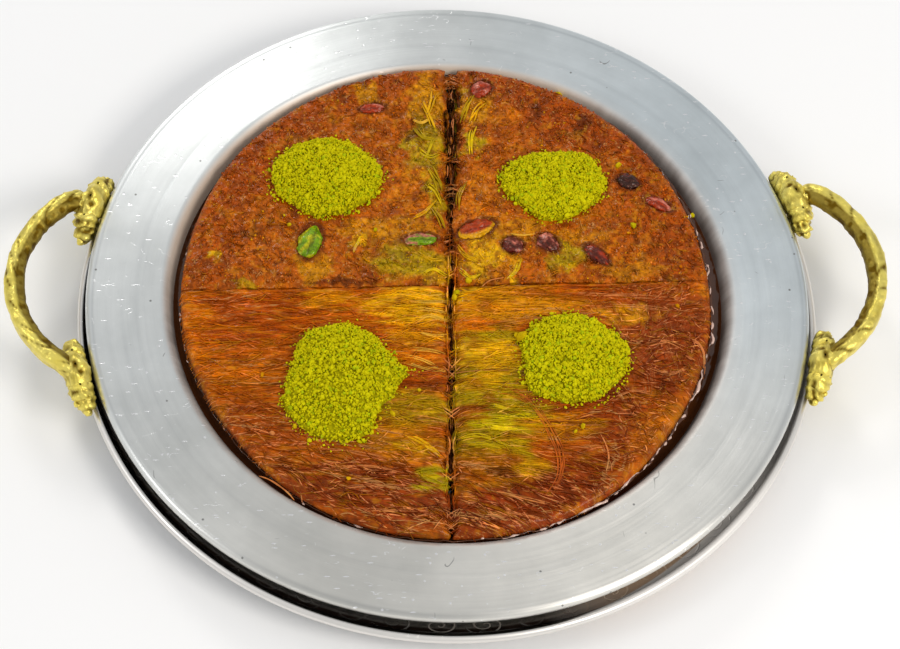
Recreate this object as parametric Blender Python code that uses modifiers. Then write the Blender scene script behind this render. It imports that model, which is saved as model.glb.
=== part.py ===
# Kunafa cut in four, in its spun aluminium plate, on a round steel tray with two cast brass handles.
# The origin is the middle of the tray's flat base. +X runs to the right handle, +Y to the back, +Z up.
from math import atan2, cos, exp, hypot, pi, radians, sin, sqrt

import bmesh
import bpy
from mathutils import Matrix, Vector, noise

MM = 0.001
GAP = 0.3 * MM
FACETS = 40

# Under-tray
TRAY_RADIUS = 154.0 * MM
TRAY_HEIGHT = 15.6 * MM
TRAY_THICKNESS = 0.9 * MM
TRAY_BASE_RADIUS = 121.0 * MM
TRAY_FLANGE_INNER = 139.0 * MM
TRAY_FLANGE_DROP = 4.0 * MM
BEAD_RADIUS = 2.0 * MM

# Plate, a little off the tray's middle
PLATE_X, PLATE_Y = -0.1 * MM, 1.4 * MM
PLATE_RADIUS = 150.0 * MM
PLATE_HEIGHT = 24.0 * MM
PLATE_THICKNESS = 1.2 * MM
PLATE_EDGE_DROP = 3.4 * MM
WELL_RADIUS = 117.5 * MM
WELL_TAPER = 0.45
WELL_FLOOR = TRAY_THICKNESS + GAP + PLATE_THICKNESS

# Kunafa, measured from the middle of the plate
CROSS_X, CROSS_Y = 0.9 * MM, 0.9 * MM
LONG_CUT_TURN = radians(87.9)
CROSS_CUT_TURN = radians(0.5)
LONG_CUT_WIDTH = 3.8 * MM
CROSS_CUT_WIDTH = 1.4 * MM
FOOD_TOP = 27.4 * MM
FOOD_BASE = WELL_FLOOR + GAP
SIDE_GAP_LOW, SIDE_GAP_HIGH = 1.6 * MM, 4.6 * MM
BASE_INSET = 2.6 * MM
SHOULDER_RADIUS = 4.6 * MM
SHOULDER_STEP = radians(48)
MEAN_DIP = 0.55 * MM
FILLING_LOW, FILLING_HIGH = 14.0 * MM, 21.8 * MM
FILLING_MARGIN = 7.5 * MM
SYRUP_LEVEL = 16.0 * MM
SYRUP_GAP = 0.6 * MM

# Handles, set a little back of the tray's middle
HANDLE_Y = 5.3 * MM
HANDLE_ARC_CENTRE = 131.0 * MM
HANDLE_ARC_RADIUS = 47.6 * MM
HANDLE_ARC_END = 65.0
HANDLE_BAR = 4.3 * MM
HANDLE_BAR_Z = 28.4 * MM
HANDLE_BAR_POINTS = 17
FOOT_ANGLE = 15.3
FOOT_MIDDLE_RADIUS = 155.2 * MM

# A heap has a middle, half sizes and a height in mm, and an outline drawn to a point by a share at an angle
HEAPS = {
    "back_left": dict(at=(-49.2, 54.6), half=(24.0, 20.4), height=6.0, point=0.05, towards=200),
    "back_right": dict(at=(47.2, 49.6), half=(23.0, 18.4), height=5.6, point=0.08, towards=170),
    "front_left": dict(at=(-45.6, -43.6), half=(24.4, 28.4), height=6.4, point=0.10, towards=265),
    "front_right": dict(at=(49.6, -35.8), half=(23.6, 21.8), height=6.0, point=0.04, towards=230),
}
HEAP_CELLS = 14
HEAP_EDGE = 0.9
GRAIN = 2.6

# A kernel has a middle and a size in mm, a turn in degrees, and a share of its height that stands proud
KERNELS = {
    "red": dict(at=(12.6, 28.2), size=(16.6, 8.6, 6.0), turn=22, proud=0.62, skinned=True),
    "green": dict(at=(-57.2, 22.6), size=(17.6, 9.4, 6.0), turn=62, proud=0.58, skinned=False),
    "sliver": dict(at=(-11.2, 23.0), size=(14.4, 6.4, 5.0), turn=6, proud=0.52, skinned=False),
    "plum_near": dict(at=(27.6, 20.0), size=(9.4, 8.2, 5.6), turn=-30, proud=0.55, skinned=True),
    "plum_middle": dict(at=(42.2, 20.8), size=(10.6, 8.4, 5.6), turn=-38, proud=0.57, skinned=True),
    "plum_far": dict(at=(62.2, 14.6), size=(13.4, 6.6, 5.0), turn=-44, proud=0.50, skinned=True),
    "dark": dict(at=(78.2, 51.6), size=(10.2, 7.8, 5.6), turn=-20, proud=0.60, skinned=True),
    "edge": dict(at=(90.4, 39.8), size=(13.0, 6.4, 5.0), turn=-32, proud=0.50, skinned=True),
    "rear_left": dict(at=(-30.0, 91.8), size=(11.6, 5.6, 4.6), turn=8, proud=0.50, skinned=True),
    "rear_right": dict(at=(17.8, 101.6), size=(10.4, 8.0, 5.0), turn=35, proud=0.52, skinned=True),
}


def clear_scene():
    for obj in list(bpy.data.objects):
        bpy.data.objects.remove(obj, do_unlink=True)


def make_collection(name, hidden=False):
    made = bpy.data.collections.new(name)
    bpy.context.scene.collection.children.link(made)
    made.hide_render = hidden
    return made


def make_material(name, colour, roughness, metallic=0.0):
    material = bpy.data.materials.new(name)
    material.use_nodes = True
    shader = material.node_tree.nodes["Principled BSDF"]
    shader.inputs["Base Color"].default_value = (*colour, 1.0)
    shader.inputs["Roughness"].default_value = roughness
    shader.inputs["Metallic"].default_value = metallic
    material.diffuse_color = (*colour, 1.0)
    return material


def add_object(name, mesh, collection, parent=None, material=None):
    obj = bpy.data.objects.new(name, mesh)
    collection.objects.link(obj)
    obj.parent = parent
    if material:
        mesh.materials.append(material)
    return obj


def add_cutter(name, mesh, collection, parent=None):
    obj = add_object(name, mesh, collection, parent)
    obj.hide_render = True
    obj.display_type = "WIRE"
    return obj


def finish_mesh(name, form):
    """A mesh of this bmesh, with its faces turned out and its round stretches smooth."""
    bmesh.ops.recalc_face_normals(form, faces=form.faces)
    mesh = bpy.data.meshes.new(name)
    form.to_mesh(mesh)
    form.free()
    mesh.shade_smooth()
    mesh.set_sharp_from_angle(angle=radians(40))
    return mesh


def combine(obj, operation, others, solver="EXACT"):
    """A Boolean of the object with every object of a collection."""
    modifier = obj.modifiers.new(operation.title(), "BOOLEAN")
    modifier.operation = operation
    modifier.solver = solver
    modifier.operand_type = "COLLECTION"
    modifier.collection = others


def evaluated_mesh(obj, name):
    graph = bpy.context.evaluated_depsgraph_get()
    mesh = bpy.data.meshes.new_from_object(obj.evaluated_get(graph), depsgraph=graph)
    mesh.name = name
    return mesh


# Turned pieces
def fillet(before, corner, after, radius, segments):
    """Points of the arc that rounds a corner of a profile."""
    point = Vector(corner)
    back = (Vector(before) - point).normalized()
    ahead = (Vector(after) - point).normalized()
    half = back.angle(ahead) / 2
    middle = point + (back + ahead).normalized() * radius / sin(half)
    start = point + back * radius * cos(half) / sin(half) - middle
    end = point + ahead * radius * cos(half) / sin(half) - middle
    sweep = atan2(start.cross(end), start.dot(end))
    return [tuple(middle + Matrix.Rotation(sweep * i / segments, 2) @ start) for i in range(segments + 1)]


def rounded_profile(corners):
    """A profile through corners of (radius from the axis, height, fillet radius, fillet segments)."""
    points = [corners[0][:2]]
    for before, corner, after in zip(corners, corners[1:], corners[2:]):
        if corner[2]:
            points += fillet(before[:2], corner[:2], after[:2], corner[2], corner[3])
        else:
            points.append(corner[:2])
    return points + [corners[-1][:2]]


def arc_points(middle, radius, start, end, segments):
    """An arc of a profile, from one angle in degrees to another."""
    turns = [radians(start + (end - start) * i / segments) for i in range(segments + 1)]
    return [(middle[0] + radius * cos(t), middle[1] + radius * sin(t)) for t in turns]


def profile_mesh(name, profile):
    mesh = bpy.data.meshes.new(name)
    mesh.from_pydata([(r, 0.0, z) for r, z in profile], [(i, i + 1) for i in range(len(profile) - 1)], [])
    return mesh


def turn_about_z(obj, thickness=None):
    """Turns a profile about Z, and gives it a sheet's thickness on its under side if there is one."""
    screw = obj.modifiers.new("Screw", "SCREW")
    screw.steps = screw.render_steps = FACETS
    screw.use_merge_vertices = True
    screw.merge_threshold = 0.00001
    screw.use_smooth_shade = True
    if thickness:
        solidify = obj.modifiers.new("Solidify", "SOLIDIFY")
        solidify.thickness = thickness
        solidify.offset = -1
        solidify.use_even_offset = True


def make_tray(collection, material):
    bead_r, bead_z = TRAY_RADIUS - BEAD_RADIUS, TRAY_HEIGHT - BEAD_RADIUS
    profile = rounded_profile([
        (0.0, TRAY_THICKNESS, 0, 0),
        (TRAY_BASE_RADIUS, TRAY_THICKNESS, 9 * MM, 2),
        (TRAY_FLANGE_INNER, bead_z - TRAY_FLANGE_DROP, 8 * MM, 2),
        (bead_r - BEAD_RADIUS, bead_z - 0.8 * MM, 0, 0),
    ])
    profile[-1:] = arc_points((bead_r, bead_z), BEAD_RADIUS, 165, -60, 3)
    tray = add_object("under_tray", profile_mesh("under_tray", profile), collection, None, material)
    turn_about_z(tray, TRAY_THICKNESS)


def well_radius(height):
    return WELL_RADIUS - (PLATE_HEIGHT - height) * WELL_TAPER


def make_plate(collection, centre, material):
    profile = rounded_profile([
        (0.0, WELL_FLOOR, 0, 0),
        (well_radius(WELL_FLOOR), WELL_FLOOR, 5 * MM, 2),
        (WELL_RADIUS, PLATE_HEIGHT, 3.6 * MM, 2),
        (PLATE_RADIUS, PLATE_HEIGHT, 2.6 * MM, 2),
        (PLATE_RADIUS, PLATE_HEIGHT - PLATE_EDGE_DROP, 0, 0),
    ])
    plate = add_object("serving_plate", profile_mesh("serving_plate", profile), collection, centre, material)
    turn_about_z(plate, PLATE_THICKNESS)


# Kunafa
def direction(turn):
    return Vector((cos(turn), sin(turn)))


QUARTERS = {
    "back_right": (direction(CROSS_CUT_TURN), direction(LONG_CUT_TURN)),
    "back_left": (-direction(CROSS_CUT_TURN), direction(LONG_CUT_TURN)),
    "front_left": (-direction(CROSS_CUT_TURN), -direction(LONG_CUT_TURN)),
    "front_right": (direction(CROSS_CUT_TURN), -direction(LONG_CUT_TURN)),
}


def side_radius(turn, height):
    """The kunafa's radius at a height: it stands off the plate's wall, more at the top and on the right."""
    height = min(height, FOOD_TOP - SHOULDER_RADIUS)
    rise = (height - FOOD_BASE) / (FOOD_TOP - SHOULDER_RADIUS - FOOD_BASE)
    uneven = (0.9 * cos(turn) + 0.3 * sin(3 * turn + 1) + 0.25 * sin(7 * turn)) * MM
    return well_radius(height) - SIDE_GAP_LOW - (SIDE_GAP_HIGH - SIDE_GAP_LOW + uneven) * rise


def wander(x, y):
    """How far the long cut strays sideways here."""
    return 1.2 * MM * noise.noise(Vector((0.0, y / (26 * MM), 3.0))) * exp(-abs(x) / (12 * MM))


def quarter_point(name, u, v, height, inset=0.0, grow=0.0):
    """A point of a quarter for u and v from 0 to 1: the cuts are at 0 and the side at 1."""
    across, deep = QUARTERS[name]
    skew = abs(across.cross(deep))
    corner = Vector((CROSS_X, CROSS_Y))
    corner += across * (LONG_CUT_WIDTH / 2 - grow) / skew + deep * (CROSS_CUT_WIDTH / 2 - grow) / skew
    x, y = u * sqrt(1 - v * v / 2), v * sqrt(1 - u * u / 2)
    along = (across * x + deep * y).normalized() if u or v else across
    reach = side_radius(atan2(along.y, along.x), height) - inset
    middle = corner.dot(along)
    length = sqrt(middle * middle - corner.dot(corner) + reach * reach) - middle
    found = corner + along * hypot(x, y) * length
    return found.x + wander(found.x, found.y), found.y


def heap_distance(heap, x, y):
    """How far a point lies from a heap's middle, where 1 is its outline."""
    dx, dy = x / MM - heap["at"][0], y / MM - heap["at"][1]
    turn = atan2(dy, dx)
    lean = cos(turn - radians(heap["towards"]))
    ragged = 0.06 * noise.noise(Vector((2.2 * cos(turn), 2.2 * sin(turn), heap["height"])))
    edge = 1 + heap["point"] * lean * abs(lean) + ragged
    return hypot(dx / heap["half"][0], dy / heap["half"][1]) / edge


def away_from_heaps(x, y):
    """From 0 under a heap to 1 away from it."""
    nearest = min(heap_distance(heap, x, y) for heap in HEAPS.values())
    return min(max((nearest - 1.1) / 0.5, 0.0), 1.0)


def dip(name, x, y):
    """How far the crust lies below its highest level: combed ridges in front, clumps at the back."""
    if name.startswith("front"):
        ridges = 0.6 * noise.noise(Vector((x / (46 * MM), y / (7 * MM), 1.0)))
    else:
        ridges = 0.6 * noise.noise(Vector((x / (9 * MM), y / (9 * MM), 4.0)))
    swell = 0.5 * noise.noise(Vector((x / (42 * MM), y / (42 * MM), 7.0)))
    return max(0.0, MEAN_DIP - (ridges + swell) * away_from_heaps(x, y) * MM)


def lip(u, v):
    """The extra dip where the crust rounds over into a cut."""
    return 0.9 * MM * max(0.0, 1 - u / 0.07) ** 2 + 0.4 * MM * max(0.0, 1 - v / 0.05) ** 2


def quarter_form(name, columns, rows, levels, grow=0.0, crust=False):
    """A closed quarter: a grid on top, then rings down its sides. A level is a height, an inset of the round
    side, and the share of the crust's dip that it follows."""
    form = bmesh.new()
    u_of = form.verts.layers.float.new("u")
    v_of = form.verts.layers.float.new("v")
    dip_of = form.verts.layers.float.new("dip")
    bmesh.ops.create_grid(form, x_segments=columns, y_segments=rows, size=0.5)
    for vertex in form.verts:
        u, v = (vertex.co.x + 0.5) ** 1.15, (vertex.co.y + 0.5) ** 1.15
        x, y = quarter_point(name, u, v, levels[0][0], levels[0][1], grow)
        vertex[u_of], vertex[v_of] = u, v
        vertex[dip_of] = dip(name, x, y) + lip(u, v) if crust else 0.0
        vertex.co = (x, y, levels[0][0] - vertex[dip_of])
    edges = [edge for edge in form.edges if edge.is_boundary]
    for height, inset, follow in levels[1:]:
        made = bmesh.ops.extrude_edge_only(form, edges=edges)["geom"]
        edges = [item for item in made if isinstance(item, bmesh.types.BMEdge) and item.is_boundary]
        for vertex in {corner for edge in edges for corner in edge.verts}:
            x, y = quarter_point(name, vertex[u_of], vertex[v_of], height, inset, grow)
            vertex.co = (x, y, height - vertex[dip_of] * follow)
    bmesh.ops.contextual_create(form, geom=edges)
    return form


def crust_levels():
    """The top, the rounded shoulder in two steps, and the base."""
    lower, inward = 1 - cos(SHOULDER_STEP), 1 - sin(SHOULDER_STEP)
    return [
        (FOOD_TOP, SHOULDER_RADIUS, 1.0),
        (FOOD_TOP - SHOULDER_RADIUS * lower, SHOULDER_RADIUS * inward, 1.0),
        (FOOD_TOP - SHOULDER_RADIUS, 0.0, 0.0),
        (FOOD_BASE, BASE_INSET, 0.0),
    ]


def make_quarters(collection, centre, crust_front, crust_back, filling_material):
    for name in QUARTERS:
        material = crust_front if name.startswith("front") else crust_back
        columns, rows = (10, 20) if name.startswith("front") else (13, 14)
        mesh = finish_mesh("kunafa_" + name, quarter_form(name, columns, rows, crust_levels(), crust=True))
        quarter = add_object("kunafa_" + name, mesh, collection, centre, material)
        hollows = make_collection("cutters_" + name, hidden=True)
        slot = [(FILLING_HIGH, FILLING_MARGIN, 0.0), (FILLING_LOW, FILLING_MARGIN, 0.0)]
        mesh = finish_mesh("slot_" + name, quarter_form(name, 7, 7, slot, grow=3 * MM))
        add_cutter("slot_" + name, mesh, hollows, centre)
        for kernel in KERNELS:
            if quarter_at(*KERNELS[kernel]["at"]) == name:
                add_cutter("socket_" + kernel, kernel_mesh(kernel, name, GAP), hollows, centre)
        combine(quarter, "DIFFERENCE", hollows)
        inset = FILLING_MARGIN + GAP
        layer = [(FILLING_HIGH - GAP, inset, 0.0), (FILLING_LOW + GAP, inset, 0.0)]
        mesh = finish_mesh("filling_" + name, quarter_form(name, 7, 7, layer))
        add_object("filling_" + name, mesh, collection, centre, filling_material)


# Toppings
def quarter_at(x, y):
    return ("back_" if y > 0 else "front_") + ("right" if x > 0 else "left")


def kernel_mesh(kernel, quarter, grow):
    """A pistachio with its ends on its length, at its place in the crust."""
    shape = KERNELS[kernel]
    x, y = shape["at"][0] * MM, shape["at"][1] * MM
    long, wide, high = (size * MM / 2 + grow for size in shape["size"])
    middle = FOOD_TOP - dip(quarter, x, y) + (shape["proud"] - 0.5) * shape["size"][2] * MM
    form = bmesh.new()
    bmesh.ops.create_uvsphere(form, u_segments=8, v_segments=5, radius=1.0)
    place = Matrix.Translation((x, y, middle)) @ Matrix.Rotation(radians(shape["turn"]), 4, "Z")
    place = place @ Matrix.Diagonal((long, wide, high, 1.0)) @ Matrix.Rotation(pi / 2, 4, "Y")
    bmesh.ops.transform(form, matrix=place, verts=form.verts)
    return finish_mesh("kernel_" + kernel, form)


def make_kernels(collection, centre, skinned, peeled):
    for kernel, shape in KERNELS.items():
        mesh = kernel_mesh(kernel, quarter_at(*shape["at"]), 0.0)
        add_object("pistachio_" + kernel, mesh, collection, centre, skinned if shape["skinned"] else peeled)


def heap_mesh(name):
    """A low heap of ground pistachio, with bumps on its top and a flat foot on the crust."""
    heap = HEAPS[name]
    foot = FOOD_TOP - MEAN_DIP + GAP
    form = bmesh.new()
    bmesh.ops.create_grid(form, x_segments=HEAP_CELLS, y_segments=HEAP_CELLS, size=1.0)
    for vertex in form.verts:
        u, v = vertex.co.x, vertex.co.y
        across, deep = u * sqrt(1 - v * v / 2), v * sqrt(1 - u * u / 2)
        x, y = heap["at"][0] + across * heap["half"][0], heap["at"][1] + deep * heap["half"][1]
        share = hypot(across, deep)
        edge = share / max(heap_distance(heap, x * MM, y * MM), 0.001) if share > 0.001 else 1.0
        x, y = heap["at"][0] + across * heap["half"][0] * edge, heap["at"][1] + deep * heap["half"][1] * edge
        grains = 0.8 * GRAIN * noise.noise(Vector((x / GRAIN, y / GRAIN, 2.0)))
        clumps = 0.3 * GRAIN * noise.noise(Vector((x, y, 6.0)) / (3.5 * GRAIN))
        rise = HEAP_EDGE + (heap["height"] - HEAP_EDGE) * (1 - share ** 2) ** 0.8
        top = max(HEAP_EDGE / 2, rise + (grains + clumps) * (1.1 - 0.5 * share))
        vertex.co = (x * MM, y * MM, foot + top * MM)
    edges = [item for item in form.edges if item.is_boundary]
    made = bmesh.ops.extrude_edge_only(form, edges=edges)["geom"]
    for vertex in (item for item in made if isinstance(item, bmesh.types.BMVert)):
        vertex.co.z = foot
    rim = [item for item in made if isinstance(item, bmesh.types.BMEdge) and item.is_boundary]
    bmesh.ops.contextual_create(form, geom=rim)
    return finish_mesh("pistachio_heap_" + name, form)


def make_heaps(collection, centre, material):
    for name in HEAPS:
        add_object("pistachio_heap_" + name, heap_mesh(name), collection, centre, material)


# Syrup
def make_syrup(collection, centre, material):
    """The syrup in the well and the cuts, up to its level, narrower where the wall rounds into the floor."""
    waist = FOOD_BASE + 3 * MM
    profile = [
        (0.0, SYRUP_LEVEL),
        (well_radius(SYRUP_LEVEL) - SYRUP_GAP, SYRUP_LEVEL),
        (well_radius(waist) - SYRUP_GAP, waist),
        (well_radius(FOOD_BASE) - BASE_INSET, FOOD_BASE),
        (0.0, FOOD_BASE),
    ]
    syrup = add_object("syrup", profile_mesh("syrup", profile), collection, centre, material)
    turn_about_z(syrup)
    blocks = make_collection("cutters_syrup", hidden=True)
    levels = [
        (FOOD_TOP - SHOULDER_RADIUS, -SYRUP_GAP, 0.0),
        (FOOD_BASE, BASE_INSET - SYRUP_GAP, 0.0),
        (FOOD_BASE - 2 * MM, BASE_INSET - SYRUP_GAP, 0.0),
    ]
    for name in QUARTERS:
        mesh = finish_mesh("block_" + name, quarter_form(name, 7, 10, levels, grow=SYRUP_GAP))
        add_cutter("block_" + name, mesh, blocks, centre)
    combine(syrup, "DIFFERENCE", blocks)


# Handles
def bar_curve(side):
    """The bar of a handle: an arc that swells and narrows like a bound stem."""
    curve = bpy.data.curves.new("handle_bar", "CURVE")
    curve.dimensions = "3D"
    curve.bevel_depth = HANDLE_BAR
    curve.bevel_resolution = 2
    curve.use_fill_caps = True
    spline = curve.splines.new("POLY")
    spline.points.add(HANDLE_BAR_POINTS - 1)
    for i, point in enumerate(spline.points):
        turn = radians(HANDLE_ARC_END * (2 * i / (HANDLE_BAR_POINTS - 1) - 1))
        x = HANDLE_ARC_CENTRE + HANDLE_ARC_RADIUS * cos(turn)
        y = HANDLE_ARC_RADIUS * sin(turn)
        lift = 1.2 * MM * (1 - abs(turn) / radians(HANDLE_ARC_END))
        point.co = (side * x, HANDLE_Y + side * y, HANDLE_BAR_Z + lift, 1.0)
        point.radius = 1.0 + (0.10 if i % 3 == 1 else -0.04)
    return curve


def foot_lobes():
    """The parts of a leaf foot: the degrees along the rim from its middle, the distance out from the foot's
    circle, the height, and the radii outward, along and up, in mm."""
    yield 0.0, 0.9, 24.2, (5.6, 6.2, 9.0)
    for way in (-1, 1):
        yield 3.0 * way, 0.2, 22.4, (5.0, 5.6, 6.6)
        yield 4.9 * way, -0.3, 20.4, (3.8, 3.2, 4.8)


def lobe_mesh(turn, out, height, radii):
    form = bmesh.new()
    bmesh.ops.create_uvsphere(form, u_segments=8, v_segments=5, radius=1.0)
    middle = Vector((FOOT_MIDDLE_RADIUS + out * MM, 0.0, height * MM))
    place = Matrix.Rotation(turn, 4, "Z") @ Matrix.Translation(middle)
    place = place @ Matrix.Diagonal((*(radius * MM for radius in radii), 1.0))
    bmesh.ops.transform(form, matrix=place, verts=form.verts)
    return finish_mesh("foot_lobe", form)


def make_handle(name, side, collection, material):
    """One casting: the bar and its two leaf feet, cut to stand clear of the tray's rim and the plate's edge."""
    scratch = make_collection("joined_" + name, hidden=True)
    curve = bar_curve(side)
    route = add_object(name + "_route", curve, scratch)
    mesh = evaluated_mesh(route, name)
    bpy.data.objects.remove(route, do_unlink=True)
    form = bmesh.new()
    form.from_mesh(mesh)
    bmesh.ops.remove_doubles(form, verts=form.verts, dist=0.00001)
    handle = add_object(name, finish_mesh(name, form), collection, None, material)
    for end in (-1, 1):
        middle = radians(FOOT_ANGLE * end) + (HANDLE_Y / TRAY_RADIUS) * side + (0 if side > 0 else pi)
        for along, out, height, radii in foot_lobes():
            turn = middle + radians(along)
            add_cutter("lobe", lobe_mesh(turn, out, height, radii), scratch)
    combine(handle, "UNION", scratch)
    combine(handle, "DIFFERENCE", bpy.data.collections["cutters_rim"])
    handle.data = evaluated_mesh(handle, name)
    handle.modifiers.clear()
    for lobe in list(scratch.objects):
        bpy.data.objects.remove(lobe, do_unlink=True)
    bpy.data.collections.remove(scratch)


def make_rim_cutters():
    """What the feet stand clear of: the tray out to its bead, and the plate's edge above it."""
    cutters = make_collection("cutters_rim", hidden=True)
    for name, radius, low, high, y in (
        ("tray_clearance", TRAY_RADIUS, -TRAY_HEIGHT, TRAY_HEIGHT + GAP, 0.0),
        ("plate_clearance", PLATE_RADIUS, 0.0, 2 * PLATE_HEIGHT, PLATE_Y),
    ):
        form = bmesh.new()
        bmesh.ops.create_cone(
            form, cap_ends=True, segments=FACETS, depth=high - low,
            radius1=radius + 2 * GAP, radius2=radius + 2 * GAP,
            matrix=Matrix.Translation((0.0, y, (high + low) / 2)),
        )
        add_cutter(name, finish_mesh(name, form), cutters)


def main():
    clear_scene()
    parts = make_collection("kunafa_on_its_tray")
    steel = make_material("polished_steel", (0.55, 0.54, 0.52), 0.12, 1.0)
    aluminium = make_material("spun_aluminium", (0.78, 0.79, 0.80), 0.34, 1.0)
    brass = make_material("cast_brass", (0.80, 0.62, 0.18), 0.32, 1.0)
    crust_front = make_material("combed_crust", (0.36, 0.09, 0.01), 0.32)
    crust_back = make_material("crumbed_crust", (0.33, 0.08, 0.01), 0.38)
    filling = make_material("pistachio_filling", (0.36, 0.27, 0.02), 0.5)
    ground = make_material("ground_pistachio", (0.52, 0.55, 0.02), 0.8)
    skinned = make_material("pistachio_skin", (0.14, 0.03, 0.03), 0.35)
    peeled = make_material("pistachio_flesh", (0.22, 0.30, 0.02), 0.4)
    dark_syrup = make_material("syrup", (0.05, 0.01, 0.0), 0.06)
    centre = bpy.data.objects.new("plate_centre", None)
    centre.location = (PLATE_X, PLATE_Y, 0.0)
    parts.objects.link(centre)
    bpy.context.view_layer.update()
    make_tray(parts, steel)
    make_plate(parts, centre, aluminium)
    make_rim_cutters()
    make_handle("handle_right", 1, parts, brass)
    make_handle("handle_left", -1, parts, brass)
    make_quarters(parts, centre, crust_front, crust_back, filling)
    make_kernels(parts, centre, skinned, peeled)
    make_heaps(parts, centre, ground)
    make_syrup(parts, centre, dark_syrup)


main()
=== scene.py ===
# Looks of the kunafa, its plate and its tray. Lengths are in millimetres unless a name says otherwise.
from math import atan2, cos, degrees, hypot, pi, radians, sin, sqrt

import bpy
import numpy as np
from mathutils import Matrix, Vector, noise


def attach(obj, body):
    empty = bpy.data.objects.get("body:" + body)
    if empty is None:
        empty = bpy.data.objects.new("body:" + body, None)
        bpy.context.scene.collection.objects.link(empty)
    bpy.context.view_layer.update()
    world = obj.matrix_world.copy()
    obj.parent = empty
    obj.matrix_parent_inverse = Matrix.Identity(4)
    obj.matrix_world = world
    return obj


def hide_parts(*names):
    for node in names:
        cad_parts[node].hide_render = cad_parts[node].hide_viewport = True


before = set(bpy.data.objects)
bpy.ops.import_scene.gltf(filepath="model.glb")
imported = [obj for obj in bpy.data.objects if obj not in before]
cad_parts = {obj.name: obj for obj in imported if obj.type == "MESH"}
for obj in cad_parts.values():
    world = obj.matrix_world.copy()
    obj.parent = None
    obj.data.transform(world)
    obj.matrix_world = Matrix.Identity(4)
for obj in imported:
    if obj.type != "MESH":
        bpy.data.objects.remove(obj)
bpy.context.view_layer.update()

MM = 0.001
BODY = "root"

# The tray and the plate, as the solids have them
TRAY_RADIUS, TRAY_HEIGHT, TRAY_THICKNESS = 154.0, 15.6, 0.9
TRAY_BASE_RADIUS, TRAY_FLANGE_INNER, TRAY_FLANGE_DROP, BEAD_RADIUS = 121.0, 139.0, 4.0, 2.0
PLATE_AT = (-0.1, 1.4, 0.0)
PLATE_RADIUS, PLATE_HEIGHT, PLATE_THICKNESS, PLATE_EDGE_DROP = 150.0, 24.0, 1.2, 3.4
WELL_RADIUS, WELL_TAPER, WELL_FLOOR = 117.5, 0.45, 2.4
TURNED_STEPS, FILLET_STEPS = 216, 8

# The kunafa, measured from the middle of the plate
CROSS_X, CROSS_Y = 0.9, 0.9
LONG_CUT_TURN, CROSS_CUT_TURN = radians(87.9), radians(0.5)
LONG_CUT_WIDTH, CROSS_CUT_WIDTH = 3.8, 1.4
FOOD_TOP, FOOD_BASE = 27.4, 2.7
SIDE_GAP_LOW, SIDE_GAP_HIGH, BASE_INSET = 1.6, 4.6, 2.6
SHOULDER_RADIUS, MEAN_DIP, DRAWN_IN = 4.6, 0.55, 2.4
FILLING_LOW, FILLING_HIGH, FILLING_MARGIN = 14.0, 21.8, 7.5
FILLING_COLUMNS, FILLING_RINGS = 70, 7
SYRUP_LEVEL = 16.0
POOL_STEPS, BEAD_STEPS, BEAD_SIDES, GLINT_SIDES, RIM_RADIUS = 300, 900, 6, 5, 115
QUARTERS = {"back_right": (1, 1), "back_left": (-1, 1), "front_left": (-1, -1), "front_right": (1, -1)}

# The handles
HANDLE_Y, HANDLE_ARC_CENTRE, HANDLE_ARC_RADIUS, HANDLE_ARC_END = 5.3, 131.0, 47.6, 65.0
HANDLE_BAR, HANDLE_BAR_Z = 4.3, 28.4
BAR_RINGS, BAR_SIDES = 250, 32
FOOT_ANGLE, FOOT_MIDDLE_RADIUS = 15.3, 155.2

# The heaps: middle, half sizes, height, an outline drawn to a point by a share at an angle, and its corners and
# hollows, each as an angle in degrees, a share and a width in degrees
HEAPS = {
    "back_left": dict(at=(-49.2, 54.6), half=(24.0, 20.4), height=6.0, point=0.05, towards=200, corners=[
        (135, 0.06, 18), (98, 0.05, 16), (222, -0.10, 16), (300, -0.06, 25), (40, -0.04, 20)]),
    "back_right": dict(at=(47.2, 49.6), half=(23.0, 18.4), height=5.6, point=0.08, towards=170, corners=[
        (48, 0.10, 16), (215, -0.20, 24), (315, -0.06, 20), (90, -0.04, 16), (250, 0.06, 16)]),
    "front_left": dict(at=(-45.6, -43.6), half=(24.4, 28.4), height=6.4, point=0.10, towards=265, corners=[
        (212, 0.08, 16), (3, 0.17, 8), (318, -0.15, 20), (165, -0.16, 24), (45, -0.04, 20)]),
    "front_right": dict(at=(49.6, -35.8), half=(23.6, 21.8), height=6.0, point=0.04, towards=230, corners=[
        (128, 0.04, 16), (184, -0.12, 18), (222, 0.08, 14), (45, -0.07, 20), (330, -0.05, 20)]),
}
# The grains of a heap: how many, their sizes, rise above the heap, spread from its middle, and small or not.
# A spread past STRAY_SPREAD scatters them round its outline.
GRAINS = [
    (700, (1.0, 1.9), 0.05, 0.95, False), (2700, (0.6, 1.3), 0.25, 0.97, True), (700, (0.5, 1.0), 0.7, 0.95, True),
    (190, (0.5, 1.2), 0.0, 1.35, True), (16, (1.2, 1.9), 0.0, 1.35, False),
]
STRAY_SPREAD = 1.2
HEAP_CELLS, HEAP_SEED = 46, 90

# The camera: its distance from the middle of the plate's rim, its height angle and its small turns, in degrees
CAMERA_TURN, CAMERA_RISE, CAMERA_DISTANCE = 5.4, 57.114, 1036.35
CAMERA_PAN, CAMERA_TILT, CAMERA_ROLL = 0.0776, -0.7937, -3.927
CAMERA_LENS, SENSOR = 99.95, 36.0

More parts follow.
